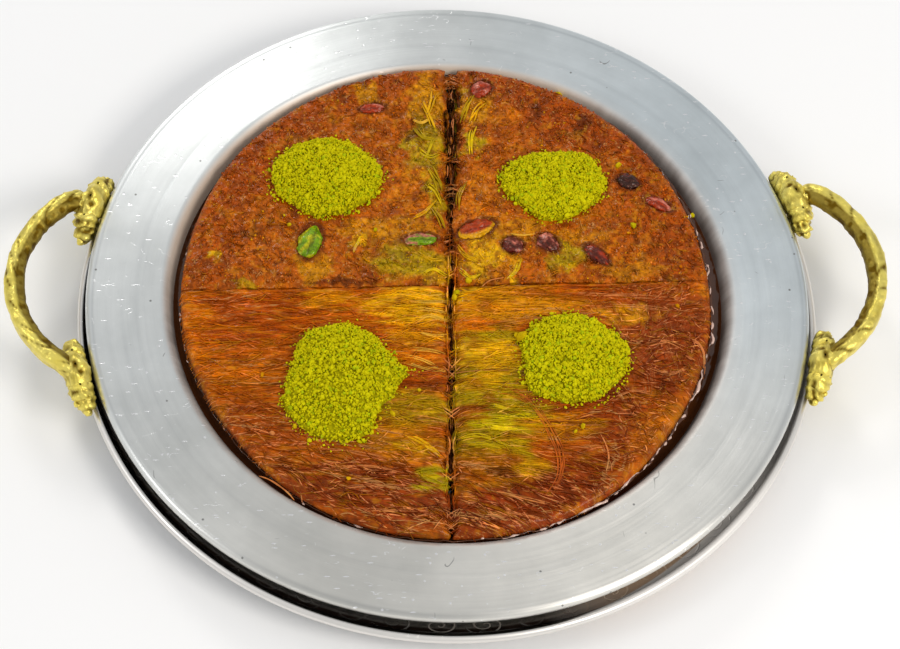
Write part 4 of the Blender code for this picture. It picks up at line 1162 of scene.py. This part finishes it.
def lay_strands(name, count, long, points, wobble, lift, radius, seed):
    """Strands laid on the crust of a quarter. Each is walked both ways from its middle and cut off at the edges."""
    draw = np.random.default_rng(seed)
    x, y = scattered(name, count, draw)
    keep = (np.min(margins(name, x, y), axis=0) > 0.6) & (nearest_heap(x, y) > 0.9)
    x, y = x[keep][:count], y[keep][:count]
    count = len(x)
    curled = smooth_step(x, 44, 76) if name == "front_right" else 0.15 * glinting(name, x, y)
    step = draw.uniform(*long, count) * (1 - 0.55 * curled) / WALK_STEPS
    wobble = wobble * (1 + 1.6 * curled)
    lean = draw.normal(0, 1, count) * wobble
    swing = draw.normal(0, 1, count) * wobble
    rate, phase = draw.uniform(0.5, 1.6, count), draw.uniform(0, 2 * pi, count)
    middle = WALK_STEPS // 2
    path = np.zeros((count, WALK_STEPS + 1, 2))
    path[:, middle] = stack(x, y)
    for way in (-1, 1):
        px, py = x.copy(), y.copy()
        for k in range(1, middle + 1):
            turn = heading(name, px, py) + lean + swing * np.sin(phase + way * rate * k * step * 0.35)
            px, py = px + way * step * np.cos(turn), py + way * step * np.sin(turn)
            path[:, middle + way * k] = stack(px, py)
    from_long, from_cross, from_side = margins(name, path[..., 0], path[..., 1])
    over = draw.choice([-1.6, -0.6, 0.2], count, p=[0.10, 0.25, 0.65])[:, None]
    over_cross = draw.choice([-1.1, -0.4, 0.1], count, p=[0.3, 0.3, 0.4])[:, None]
    inside = (from_long > over) & (from_cross > over_cross) & (from_side > -0.4)
    index = np.arange(WALK_STEPS + 1)
    first = np.where(~inside & (index < middle), index, -1).max(axis=1) + 1
    last = np.where(~inside & (index > middle), index, WALK_STEPS + 1).min(axis=1) - 1
    keep = (last - first) * step > 1.6
    flat = resample(path, first.astype(float), last.astype(float), points)[keep]
    count, (x, y) = len(flat), np.moveaxis(flat, -1, 0)
    rise = draw.gamma(2.0, lift / 2, count)[:, None]
    wave = 0.25 * soft_noise(x + 40 * draw.random((count, 1)), y, 5.0, 65)
    from_middle = np.abs(2 * np.linspace(0, 1, points) - 1)
    z = crust_height(name, x, y) + 0.7 * crust_relief(name, x, y) - 0.25 + rise + wave - 0.35 * from_middle ** 4
    z -= 0.6 * lip_drop(name, x, y) + 0.5 * np.clip(-margins(name, x, y)[0], 0, 3) ** 1.5
    thick = draw.uniform(*radius, count)[:, None] * (1 - 0.55 * from_middle ** 6)
    bright, spread, glint_paint = (1.03, 0.22, 1.0) if in_front(name) else (0.92, 0.32, 0.45)
    light = bright * draw.uniform(1 - spread, 1 + spread, (count, 1, 1))
    light = light * (1 + 0.22 * soft_noise(x, y, 3.0, 66))[..., None]
    tint = crust_colour(name, x, y) * light
    tint = mix(tint, TONES["amber"], (draw.random((count, 1)) < 0.16) * 0.4 * np.ones_like(x))
    # Painted highlights: dashes of glint colour on some strands, most where the syrup glints.
    wet = glinting(name, x, y)
    spots = smooth_step(soft_noise(x + 50 * draw.random((count, 1)), y, 1.3, 67), 0.15, 0.5)
    shine = (draw.random((count, 1)) < 0.20 + 0.45 * wet) * spots * (0.6 + 0.5 * wet)
    tint = tint * (1 - 0.22 * wet)[..., None] + TONES["glint"] * (shine * glint_paint)[..., None]
    return painted_tubes(stack(x, y, z), thick, STRAND_SIDES, tint)


def crust_crumbs(name, count, seed):
    """Short broken ends, pressed into the crust."""
    draw = np.random.default_rng(seed)
    x, y = scattered(name, count, draw)
    from_long, from_cross, from_side = margins(name, x, y)
    keep = (from_long > 0.4) & (from_cross > -0.7) & (from_side > 0.8) & (nearest_heap(x, y) > 1.0)
    x, y = x[keep][:count], y[keep][:count]
    size = draw.uniform(0.4, 1.3, len(x))
    z = crust_height(name, x, y) + 0.8 * crust_relief(name, x, y) - 0.25 + 0.2 * size - 0.6 * lip_drop(name, x, y)
    points, faces = grain_mesh(x, y, z, size, draw, True)
    tint = crust_colour(name, x, y) * draw.uniform(0.52, 1.35, (len(x), 1))
    # Some crumbs are amber, and others get glint colour added, as painted highlights.
    odd = draw.random((len(x), 1))
    tint = np.where(odd < 0.03, TONES["amber"], np.where(odd < 0.17, tint + TONES["glint"] * odd * 2.2, tint))
    return points, faces, np.repeat(tint, len(OCTAHEDRON[0]), axis=0)


def smooth_path(places, count):
    """A rounded path through places."""
    places = np.array([2 * np.array(places[0]) - places[1], *places, 2 * np.array(places[-1]) - places[-2]], float)
    found = []
    for t in np.linspace(0, len(places) - 3.0001, count):
        i, s = int(t), t - int(t)
        a, b, c, d = places[i : i + 4]
        bend, twist = 2 * a - 5 * b + 4 * c - d, 3 * b - a - 3 * c + d
        found.append(0.5 * (2 * b + (c - a) * s + bend * s ** 2 + twist * s ** 3))
    return np.array(found)


def loose_strands(name):
    """The single strands and shreds of a quarter."""
    draw = np.random.default_rng(200 + len(name))
    parts = []
    for tone, radius, lift, count, *places in LOOSE[name]:
        path = smooth_path(places, 6 * len(places))
        ahead = np.gradient(path, axis=0)
        ahead /= np.linalg.norm(ahead, axis=1)[:, None]
        side = stack(-ahead[:, 1], ahead[:, 0])
        for k in range(count):
            far = (k - (count - 1) / 2) * radius * 1.7 * draw.uniform(0.7, 1.3)
            sway = 0.8 * soft_noise(path[:, 0] + 9 * k, path[:, 1], 9.0, 210 + k) * min(1.0, count / 4)
            one = path + side * (far + sway)[:, None] if count > 1 else path
            first, short = (draw.integers(0, 1 + len(path) // 6) for _ in range(2))
            x, y = one[first : len(path) - short].T
            on = np.minimum(crust_height(name, x, y) + 0.7 * np.maximum(crust_relief(name, x, y), 0), FOOD_TOP + 1.0)
            on = np.where(np.hypot(x, y) > STRAND_REACH, PLATE_HEIGHT, on)
            z = on - 0.2 + lift * (0.3 + 0.7 * np.sin(np.linspace(0, pi, len(x)))) + radius * 0.4
            uneven = 1 + 0.3 * soft_noise(x * 1.3, y, 2.0, 220 + k)
            thick = radius * uneven * (1 - 0.75 * np.abs(np.linspace(-1, 1, len(x))) ** 4)
            tint = mix(crust_colour(name, x, y), TONES[tone], 0.75) * draw.uniform(0.8, 1.15)
            parts.append(painted_tubes(stack(x, y, z)[None], thick[None], SHRED_SIDES, tint))
    return join(parts)


def cut_strands(name, count, seed):
    """Wet strands and shreds that hang over the long cut's edge, lie in it or cross it. At the rear they lie lower."""
    draw = np.random.default_rng(seed)
    across, deep = quarter_axes(name)
    out = np.where(draw.random(count) < 0.10, draw.uniform(104, 113, count), draw.uniform(1.5, 110, count))
    base = quarter_corner(name) + deep * out[:, None]
    base[:, 0] += wander(base[:, 0], base[:, 1])
    rear = smooth_step(out * deep[1], 8, 30)
    drop = 7.0 * draw.random(count) ** 0.8 + 1.8 * rear
    crossing = ((draw.random(count) < 0.4) & (soft_noise(out * deep[1], out * 0, 7.0, 46) > 0.1))[:, None]
    length = draw.uniform(2.0, 8.0, count)
    slant = draw.normal(0, 0.4, count)
    share = np.linspace(0, 1, 6)
    bow = np.sin(pi * share) * draw.uniform(0.0, 0.8, (count, 1))
    lengthwise = (share - 0.5) * (length * np.cos(slant))[:, None]
    lying = draw.uniform(-1.8, 0.6, (count, 1)) * smooth_step(drop, -1.0, 3.0)[:, None]
    reach = draw.uniform(1.2, 4.5, (count, 1))
    sideways = np.where(crossing, across[0] * (1.6 - (1.6 + reach) * share), across[0] * (lying - bow))
    lengthwise = np.where(crossing, lengthwise * 0.6, lengthwise)
    x = base[:, 0, None] + sideways + deep[0] * lengthwise
    y = base[:, 1, None] + deep[1] * lengthwise
    z = FOOD_TOP - 1.4 - drop[:, None] + (share - 0.5) * (length * np.sin(slant))[:, None]
    z = np.where(crossing, FOOD_TOP - 0.9 - 0.3 * drop[:, None] - 1.6 * share, z)
    inside = np.hypot(x, y).max(axis=1) < 112.5
    x, y, z, drop = x[inside], y[inside], np.minimum(z, FOOD_TOP - 0.7)[inside], drop[inside, None]
    crossing, rear = crossing[inside], rear[inside, None]
    count = len(x)
    radius = draw.uniform(0.22, 0.42, (count, 1)) * (1 - 0.6 * np.abs(2 * share - 1) ** 4)
    # Painted shade: the deeper a strand hangs in the cut the darker it is painted; crossing strands less so, except at
    # the rear.
    shade = 0.92 * smooth_step(drop, 0.3, 4.0) * np.ones_like(x) * np.where(crossing, 0.25 + 0.45 * rear, 1.0)
    tint = mix(crust_colour(name, x + across[0] * 2.5, y) * 0.9, TONES["umber"] * 0.45, shade)
    tint = tint * draw.uniform(0.6, 1.5, (count, 1, 1))
    # Painted highlights: a fifth of the strands get glint colour added.
    tint = tint + 0.8 * TONES["glint"] * ((draw.random((count, 1)) < 0.20) * np.ones_like(x))[..., None]
    return painted_tubes(stack(x, y, z), radius, STRAND_SIDES, tint)


def make_strands(name, material, slot):
    parts = [cut_strands(name, CUT_STRANDS, CUT_SEED)] + [lay_strands(name, *kind) for kind in STRANDS[name]]
    if not in_front(name):
        parts.append(crust_crumbs(name, CRUST_CRUMBS, CRUMB_SEED))
    points, faces, tint = join(parts + [loose_strands(name)])
    x, y, z = points.T
    mesh_piece("strands_" + name, stack(*stand_out(x, y), z) + PLATE_AT, faces, material, slot,
               tint=tint, comb=stack(*comb_of(name, x, y), z) * 0.2)


def make_kunafa():
    slots = {True: "combed_crust", False: "crumbed_crust"}
    materials = {
        True: crust_material(slots[True], 0.34, (0.10, 1.9, 1.0), 0.34, 0.72),
        False: crust_material(slots[False], 0.36, (0.9, 0.9, 0.9), 0.355, 0.8),
    }
    filling = grainy_material("pistachio_filling", (0.36, 0.27, 0.02), 0.5, (700.0, 3.0), (0.7, 1.25), (0.4, 0.0004),
                              Specular_IOR_Level=0.35, Specular_Tint=(1.0, 0.8, 0.45))
    for name in QUARTERS:
        quarter_core(name, materials[in_front(name)], slots[in_front(name)])
        make_strands(name, materials[in_front(name)], slots[in_front(name)])
        make_filling(name, filling)


# Ground pistachio
GOLDEN = (1 + sqrt(5)) / 2
OCTAHEDRON = (
    np.array([(1, 0, 0), (-1, 0, 0), (0, 1, 0), (0, -1, 0), (0, 0, 1), (0, 0, -1)], float),
    np.array([(0, 2, 4), (2, 1, 4), (1, 3, 4), (3, 0, 4), (2, 0, 5), (1, 2, 5), (3, 1, 5), (0, 3, 5)]),
)
ICOSAHEDRON = (
    np.array([
        (-1, GOLDEN, 0), (1, GOLDEN, 0), (-1, -GOLDEN, 0), (1, -GOLDEN, 0), (0, -1, GOLDEN), (0, 1, GOLDEN),
        (0, -1, -GOLDEN), (0, 1, -GOLDEN), (GOLDEN, 0, -1), (GOLDEN, 0, 1), (-GOLDEN, 0, -1), (-GOLDEN, 0, 1),
    ], float) / hypot(1, GOLDEN),
    np.array([
        (0, 11, 5), (0, 5, 1), (0, 1, 7), (0, 7, 10), (0, 10, 11), (1, 5, 9), (5, 11, 4), (11, 10, 2), (10, 7, 6),
        (7, 1, 8), (3, 9, 4), (3, 4, 2), (3, 2, 6), (3, 6, 8), (3, 8, 9), (4, 9, 5), (2, 4, 11), (6, 2, 10),
        (8, 6, 7), (9, 8, 1),
    ]),
)


def heap_top(heap, x, y):
    """The heap's level over points inside its outline."""
    share = np.clip(heap_distance(heap, x, y), 0, 1)
    rise = 0.9 + (heap["height"] - 0.9) * (1 - share ** 2) ** 0.8
    return FOOD_TOP - MEAN_DIP + 0.3 + rise


def grain_mesh(x, y, z, size, draw, small=False):
    """Angular crumbs: a twenty-sided form, or one of eight sides when small, pulled about and turned for each."""
    corners, sides = OCTAHEDRON if small else ICOSAHEDRON
    count, form_size = len(x), len(corners)
    form = corners * draw.uniform(0.72, 1.22, (count, form_size, 1)) * draw.uniform(0.7, 1.5, (count, 1, 3))
    axes, _ = np.linalg.qr(draw.normal(size=(count, 3, 3)))
    axes *= np.sign(np.linalg.det(axes))[:, None, None]
    form = np.einsum("nij,nkj->nki", axes, form) * (size / 2)[:, None, None]
    faces = (np.arange(count) * form_size)[:, None, None] + sides
    return (form + stack(x, y, z)[:, None]).reshape(-1, 3), faces.reshape(-1, 3)


def stray_crumbs(name, draw):
    """The placed crumbs of a quarter, on its crust or on the plate."""
    x, y, size = (np.array(column, float) for column in list(zip(*CRUMBS[name]))[:3])
    out = np.hypot(x, y)
    on_plate = np.where(out > WELL_RADIUS - 2, PLATE_HEIGHT, PLATE_HEIGHT - 3)
    z = np.where(out > WELL_RADIUS - 4, on_plate, crust_height(name, x, y)) + 0.3 * size
    points, faces = grain_mesh(x, y, z, size, draw)
    return points, faces, np.repeat([TONES[tone] for *_, tone in CRUMBS[name]], len(ICOSAHEDRON[0]), axis=0)


def heap_core(heap):
    """The body of a heap under its grains: a lumpy grid, closed underneath."""
    u, v = np.meshgrid(np.linspace(-1, 1, HEAP_CELLS), np.linspace(-1, 1, HEAP_CELLS), indexing="ij")
    across, deep = u * np.sqrt(1 - v * v / 2), v * np.sqrt(1 - u * u / 2)
    share = np.hypot(across, deep)
    x, y = on_heap(heap, across, deep)
    edge = np.where(share > 0.001, share / np.maximum(heap_distance(heap, x, y), 0.001), 1.0) * 0.95
    x, y = on_heap(heap, across, deep, edge)
    z = heap_top(heap, x, y) - 0.5 + lumps(x, y, (0.5, 1.9, 81), (0.5, 4.5, 82)) * (1 - 0.6 * share)
    z = np.where(share > 0.995, FOOD_TOP - MEAN_DIP - 0.6, z)
    points, ring = stack(x, y, z).reshape(-1, 3), edge_ring(HEAP_CELLS, HEAP_CELLS)
    faces = np.concatenate([halves(grid_faces(HEAP_CELLS, HEAP_CELLS)), fan(ring, len(points))])[:, ::-1]
    points = np.concatenate([points, [points[ring].mean(axis=0)]])
    # The body is painted a darker grain tone, as painted shade in the gaps between the grains.
    return points, faces, np.broadcast_to(TONES["grain_deep"] * 0.75, (len(points), 3))


def on_heap(heap, across, deep, scale=1.0):
    """Places over a heap, from shares of its half sizes."""
    (x, y), (half_x, half_y) = heap["at"], heap["half"]
    return x + across * half_x * scale, y + deep * half_y * scale


def make_heap(name, material, seed):
    """A heap of ground pistachio: its body, the grains over it and those scattered round its outline."""
    heap = HEAPS[name]
    draw = np.random.default_rng(seed)
    parts = [heap_core(heap), stray_crumbs(name, draw)]
    for count, sizes, rise, spread, small in GRAINS:
        angle, far = draw.uniform(-pi, pi, count), np.sqrt(draw.random(count)) * spread
        if spread > STRAY_SPREAD:
            tongues = 0.08 * np.clip(soft_noise(angle * 5, angle * 0, 1.0, seed), 0, 1)
            far = 0.95 + np.abs(draw.normal(0, 0.06, count)) + tongues
        x, y = on_heap(heap, far * np.cos(angle), far * np.sin(angle))
        pull = far / np.maximum(heap_distance(heap, x, y), 0.001)
        x, y = on_heap(heap, far * np.cos(angle), far * np.sin(angle), pull)
        size = draw.uniform(*sizes, count)
        level = heap_top(heap, x, y) + rise + draw.normal(0, 0.25, count)
        out = smooth_step(heap_distance(heap, x, y), 0.90, 1.02)
        z = level * (1 - out) + (crust_height(name, x, y) + 0.35 * size) * out
        points, faces = grain_mesh(x, y, z, size, draw, small)
        colour = mix(TONES["grain_deep"], TONES["grain_light"], draw.random(count))
        colour = np.where(draw.random((count, 1)) < 0.10, TONES["grain_green"], colour)
        parts.append((points, faces, np.repeat(colour, len((OCTAHEDRON if small else ICOSAHEDRON)[0]), axis=0)))
    points, faces, tint = join(parts)
    mesh_piece("ground_pistachio_" + name, points + PLATE_AT, faces, material, "ground_pistachio",
               ["pistachio_heap_" + name], smooth=False, tint=tint)


def make_heaps():
    material = grainy_material("ground_pistachio", (0.5, 0.5, 0.02), 0.75, (1400.0, 2.0), (0.85, 1.12), (0.3, 0.0003),
                               Specular_IOR_Level=0.15, Specular_Tint=(1.0, 1.0, 0.3))
    for k, name in enumerate(HEAPS):
        make_heap(name, material, HEAP_SEED + k)


# Filling and syrup
def make_filling(name, material):
    """The layer of nuts and strands that shows at the cuts, lumpy where it meets them."""
    along = np.linspace(0, 1, FILLING_COLUMNS)
    u = np.concatenate([0 * along, along[1:], 0 * along[1:] + 1, along[::-1][1:-1]])
    v = np.concatenate([along[::-1], 0 * along[1:], along[1:], 0 * along[2:] + 1])
    seed = QUARTERS[name][0] * 3 + QUARTERS[name][1] * 7 + 40
    levels = np.linspace(FILLING_HIGH - 0.3, FILLING_LOW + 0.3, FILLING_RINGS)
    rings = []
    for k, level in enumerate(levels):
        x, y = quarter_point(name, u, v, level, FILLING_MARGIN + 0.3)
        coarse = soft_noise(x + y, level + x - y, 2.2, seed)
        bump = 0.35 + 0.35 * coarse + 0.3 * soft_noise(x + y, level * 2 + y, 0.9, seed + 1)
        bump = np.maximum(sin(pi * (k + 0.5) / len(levels)) * bump, 0.02)
        rings.append(stack(*quarter_point(name, u, v, level, FILLING_MARGIN + 0.3, bump), level))
    points, faces = closed_rings(np.array(rings))
    if cross(*quarter_axes(name)) < 0:
        faces = faces[:, ::-1]
    speck = soft_noise(points[:, 0] * 2 + points[:, 1], points[:, 2] * 2, 1.6, 55)
    tint = mix(TONES["paste"], TONES["paste_green"], smooth_step(speck, 0.0, 0.5))
    tint = mix(tint, TONES["paste_brown"], smooth_step(speck, -0.15, -0.5))
    mesh_piece("filling_mass_" + name, points + PLATE_AT, faces, material, "pistachio_filling", ["filling_" + name],
               tint=tint)


def syrup_material():
    """Dark syrup, with a pale painted glint line along the crust."""
    look = Look("syrup", (0.055, 0.014, 0.004), 0.05, Specular_IOR_Level=0.6)
    colour = look.place().noise(120.0, 3.0).mix((0.045, 0.012, 0.004), (0.110, 0.034, 0.009))
    look.set(Base_Color=look.attribute("foam").mix(colour, (0.66, 0.46, 0.38)))
    look.bump(look.place().noise(260.0, 2.0), 0.25, 0.0006)
    return look.material


def syrup_pool():
    """The syrup in the well and the cuts, creeping up the wall."""
    turn = circle(POOL_STEPS)
    wall = well_radius(SYRUP_LEVEL)
    steps = [
        (wall - BASE_INSET, FOOD_BASE - SYRUP_LEVEL), (wall + 0.25, -7.0), (wall + 0.75, 1.0), (wall + 0.2, 0.75),
        (wall - 0.8, 0.2), (wall - 2.0, 0.0), (wall - 4.0, 0.1), (wall - 9.0, 0.2), (60.0, 0.0), (2.0, 0.0),
    ]
    rings = []
    for radius, lift in steps:
        ripple = 0.12 * soft_noise(radius * np.cos(turn), radius * np.sin(turn), 5.0, 91) * (radius < wall)
        held = np.minimum(radius, well_radius(SYRUP_LEVEL + lift) + 0.25)
        rings.append(stack(held * np.cos(turn), held * np.sin(turn), SYRUP_LEVEL + lift + ripple * (lift >= 0)))
    return closed_rings(np.array(rings), [(0.0, 0.0, FOOD_BASE), (0.0, 0.0, SYRUP_LEVEL)])


def make_syrup():
    """The syrup, a wet bead that follows the crust, higher and thicker at the right and in front, and a painted glint
    line on it.
    """
    turn = np.linspace(-pi, pi, BEAD_STEPS)
    rim = RIM_RADIUS * np.cos(turn), RIM_RADIUS * np.sin(turn)
    wet = smooth_step(np.cos(turn + 0.35), -0.15, 0.6)
    level = FOOD_TOP - 6.6 + 2.0 * wet + 0.5 * soft_noise(*rim, 6.0, 92)
    reach = side_radius(turn, level) + 0.25 + 0.5 * soft_noise(*rim, 3.0, 93)
    reach += 1.3 * smooth_step(-np.sin(turn), 0.6, 0.98)
    thin = (1 - 0.9 * smooth_step(-np.sin(turn), 0.6, 0.95)) * np.clip(0.6 + soft_noise(*rim, 4.0, 94), 0.1, 1.3)
    size = 0.25 + 0.7 * wet * thin
    bead = tube_mesh(stack(reach * np.cos(turn), reach * np.sin(turn), level)[None], size[None], BEAD_SIDES)
    # Painted highlight: a pale glint line along the bead, mostly at the lower right and a little at the left.
    glint_share = smooth_step(np.cos(turn + 0.62), 0.55, 0.85) + 0.45 * smooth_step(np.cos(turn - 3.1), 0.85, 0.97)
    dashes = smooth_step(lumps(*rim, (1.0, 2.6, 95), (0.5, 9.0, 96)) + glint_share, 0.75, 1.0)
    foam_size = 0.50 * dashes * (1 + 0.7 * soft_noise(*rim, 1.3, 97)) * (dashes > 0.1)
    out = reach + 0.3 * size + 0.8 * soft_noise(*rim, 4.0, 98)
    path = stack(out * np.cos(turn), out * np.sin(turn), level + 0.8 * size)[None]
    foam, foam_faces = tube_mesh(path, np.maximum(foam_size, 0.01)[None], GLINT_SIDES)
    foam_faces = foam_faces[(foam_size > 0.05)[foam_faces // GLINT_SIDES].any(axis=1)]
    parts = [(*syrup_pool(), 0), (*bead, 0), (foam, foam_faces, 1)]
    points, faces, foam = join([(p, f, np.full(len(p), value)) for p, f, value in parts])
    used, faces = np.unique(faces, return_inverse=True)
    mesh_piece("syrup_pool", points[used] + PLATE_AT, faces.reshape(-1, 3), syrup_material(), "syrup", ["syrup"],
               foam=foam[used])


# Whole kernels
def make_kernel(name, material, slot, seed):
    """A shelled pistachio: an uneven ovoid with a crease along it, wrinkled skin and a paler seam."""
    shape = KERNELS[name]
    y, z, x = ball(KERNEL_ROWS, KERNEL_COLUMNS)
    blunt = 1 - shape.get("taper", 0.16) * x - 0.10 * x * x
    crease = 0.16 * bell(y + 0.25 + 0.2 * x, 0.14) * (z > 0) * (1 - x ** 4)
    wrinkle = 0.14 * soft_noise(3 * x + 9 * y, 2 * x + 7 * z, 1.3, seed)
    wrinkle = wrinkle + 0.08 * soft_noise(11 * x, 9 * y + 8 * z, 1.0, seed + 1)
    wrinkle = wrinkle + 0.10 * soft_noise(2 * x + 5, 3 * y + z, 1.1, seed + 3)
    grow = blunt * (1 + wrinkle - crease)
    long, wide, high = (size / 2 for size in shape["size"])
    at_x, at_y = map(np.array, shape["at"])
    middle = FOOD_TOP - dip_at(bool(at_y < 0), at_x, at_y) + (shape["proud"] - 0.62) * 2 * high
    px, py = along_across(x * long, y * grow * wide, -radians(shape["turn"]))
    points = stack(at_x + px, at_y + py, middle + z * grow * high).reshape(-1, 3)
    main, second, low = (TONES[tone] for tone in shape["tones"])
    patch = soft_noise(x * 3.2 + y, y * 3.2 + z, 0.9, seed + 2)
    rim = shape.get("rim", 0.0)
    # Patches of the second tone; pink ones are painted highlights.
    tint = mix(main, second, smooth_step(patch + 0.6 * y * (1 - rim), 0.05, 0.45) * (1 - rim))
    tint = mix(tint, second, rim * smooth_step(-z - 0.5 * np.sign(rim) * y, -0.62, -0.30))
    # Painted shade: the under side takes the darker third tone.
    tint = mix(tint, low, (1 - rim) * smooth_step(-z + 0.4 * patch, 0.0, 0.6))
    # Painted shade in the crease and in the hollows of the wrinkles.
    tint = mix(tint, low * 0.6, np.minimum(1.0, 4.0 * crease - 2.0 * np.minimum(wrinkle, 0)))
    mesh_piece("kernel_" + name, points + PLATE_AT, halves(grid_faces(KERNEL_ROWS, KERNEL_COLUMNS, wrap=True))[:, ::-1],
               material, slot, ["pistachio_" + name], tint=tint.reshape(-1, 3))


def make_kernels():
    materials = {
        slot: grainy_material(slot, (0.2, 0.1, 0.05), 0.3, (900.0, 3.0), (0.45, 1.5), (0.6, 0.0008),
                              Specular_IOR_Level=0.45, Specular_Tint=(1.0, 0.5, 0.3), Coat_Weight=0.30,
                              Coat_Roughness=0.08)
        for slot in ("pistachio_skin", "pistachio_flesh")
    }
    for k, name in enumerate(KERNELS):
        slot = "pistachio_flesh" if name in PEELED else "pistachio_skin"
        make_kernel(name, materials[slot], slot, KERNEL_SEED + 7 * k)


# Handles
def cast_brass():
    """Cast brass, bright on its ridges, with painted shade in its recesses."""
    look = Look("cast_brass", (0.80, 0.62, 0.18), 0.30, 1.0)
    cloud = look.place().noise(160.0, 4.0)
    # Painted shade: the recess share darkens the brass in hollows, seams and the bar's inner face.
    shade = (look.attribute("recess") + cloud.span(0.5, 0.8, 0.0, 0.25)).math("MINIMUM", 1.0)
    bright = cloud.mix((0.80, 0.61, 0.05), (0.97, 0.85, 0.24))
    look.set(Base_Color=shade.mix(bright, (0.15, 0.085, 0.002)), Roughness=shade.span(0.0, 1.0, 0.34, 0.55),
             Metallic=shade.span(0.0, 1.0, 0.65, 0.9))
    look.bump(look.place().noise(600.0, 4.0), 0.5, 0.0008)
    return look.material


def carving(x, y, z, seed):
    """Ridges and hollows of cast leaves, from -1 to 1, over lengths in millimetres."""
    ridges = 1 - 2.8 * np.abs(soft_noise(x + 0.7 * z, y - 0.6 * z, 3.0, seed))
    fine = soft_noise(x - 0.5 * z, y + 0.8 * z, 1.3, seed + 1)
    return np.clip(0.7 * ridges + 0.45 * fine, -1, 1)


def bar_mesh(side):
    """The bar: an arc with a flat top, an inner face painted darker as shade, and slanting leaf edges over its top."""
    share, around = np.meshgrid(np.linspace(-1, 1, BAR_RINGS), circle(BAR_SIDES), indexing="ij")
    turn = share * radians(HANDLE_ARC_END)
    length = turn * HANDLE_ARC_RADIUS
    # around runs from the outside over the top to the inside
    sway = 2.6 * soft_noise(length + 60, around * 2, 9.0, 133)
    leaf = (0.8 * length + sway + 5.5 * (around - pi / 2) * side + 1.4 * np.sin(3 * around)) / 8.5
    place = leaf - np.floor(leaf) - 0.5
    edge = bell(place, 0.09) * smooth_step(soft_noise(length + 60, around * 3, 5.0, 134), -0.5, 0.3)
    overlap = place * (place > 0) - 0.12
    carve = carving(0.7 * length + 60, around * 4.0, 0.0, 131)
    top = smooth_step(np.sin(around), 0.1, 0.6)
    inner = smooth_step(around, 1.66, 1.92) * smooth_step(around, 4.6, 3.9)
    square = (np.abs(np.cos(around)) ** 3 + np.abs(np.sin(around)) ** 3) ** (-1 / 3)
    knots = 1 + 0.05 * soft_noise(length + 60, 0 * length, 8.0, 135)
    closing = np.sqrt(np.maximum(1 - np.clip((np.abs(share) - 0.93) / 0.07, 0, 1) ** 2, 0.01))
    lip, chamfer = 0.35 * bell(around - 1.58, 0.16), 1.1 * bell(around - 2.2, 0.5)
    raise_by = top * (0.4 * overlap - 0.35 * edge) + lip + 0.26 * carve - chamfer
    radius = (0.93 * HANDLE_BAR * square * knots + raise_by) * closing
    lift = 1.4 * (1 - np.abs(share)) - 2.4 * smooth_step(np.abs(share), 0.80, 1.0)
    reach = HANDLE_ARC_RADIUS + radius * np.cos(around)
    x, y = side * (HANDLE_ARC_CENTRE + reach * np.cos(turn)), HANDLE_Y + side * reach * np.sin(turn)
    # Painted shade in the leaf edges, the carving's hollows and over the inner face.
    recess = np.clip(0.85 * edge * top * (1 - inner) + 0.4 * np.clip(-carve, 0, 1) + 0.78 * inner, 0, 1)
    points, faces = closed_rings(stack(x, y, HANDLE_BAR_Z + lift + radius * np.sin(around)))
    return points, faces, np.concatenate([recess.ravel(), [1.0, 1.0]])


def lobe(turn, out, height, radii, flutes, depth, lean, seed):
    """A carved lobe of a foot: flutes fan out from its lower inner end, with leaf edges and hollows between."""
    x, y, z = ball(LOBE_ROWS, LOBE_COLUMNS)
    seam = smooth_step(np.abs(y), 0.80, 1.0) * (radii[1] > 2)
    flute = np.cos(np.arctan2(y, z + 0.9) * flutes * 2)
    carve = carving(x * radii[0] + 31 * seed, y * radii[1], z * radii[2], 140 + seed)
    grow = 1 + depth * flute * (1 - np.abs(z) ** 6) + 0.75 * carve / max(radii) * min(1.0, min(radii) / 3)
    x, y, z = x * grow * radii[0], y * grow * radii[1], z * grow * radii[2]
    px, py = along_across(FOOT_MIDDLE_RADIUS + out + x, y + lean * z, -turn)
    hollow = np.clip(-flute * 0.8 - 0.2, 0, 1) * (flutes > 0)
    # Painted shade in the flutes' hollows, the carving and the seams between lobes.
    recess = np.clip(0.7 * hollow + 1.0 * np.clip(-carve - 0.1, 0, 1) + 0.75 * seam, 0, 1)
    faces = halves(grid_faces(LOBE_ROWS, LOBE_COLUMNS, wrap=True))
    return stack(px, py, height + z).reshape(-1, 3), faces, recess.ravel()


def make_handle(name, side, material):
    """One casting: the bar and its two feet of leaves, a fan on one side, a rosette and beads on the other.
    Where the feet meet the plate's edge and the tray's rim they are pushed out past them."""
    parts = [bar_mesh(side)]
    for end in (-1, 1):
        middle = FOOT_ANGLE * end + degrees(HANDLE_Y / TRAY_RADIUS) * side + (0 if side > 0 else 180)
        for k, (along, out, height, radii, flutes, depth, lean) in enumerate(LOBES):
            parts.append(lobe(radians(middle - end * along), out, height, radii, flutes, depth, -end * lean, k))
    points, faces, recess = join(parts)
    from_plate = points[:, :2] - PLATE_AT[:2]
    far = np.hypot(*from_plate.T)
    push = np.where(points[:, 2] > TRAY_HEIGHT + 0.5, np.maximum(PLATE_RADIUS + 0.5, far), far)
    points[:, :2] += from_plate * (push / far - 1)[:, None]
    far = np.hypot(points[:, 0], points[:, 1])
    push = np.where(points[:, 2] < TRAY_HEIGHT + 0.3, np.maximum(TRAY_RADIUS + 0.4, far), far)
    points[:, :2] *= (push / far)[:, None]
    mesh_piece(name + "_casting", points, faces, material, "cast_brass", [name], recess=recess)


def make_handles():
    brass = cast_brass()
    make_handle("handle_right", 1, brass)
    make_handle("handle_left", -1, brass)


make_camera()
make_light()
make_floor()
make_plate()
make_tray()
make_kunafa()
make_heaps()
make_kernels()
make_syrup()
make_handles()
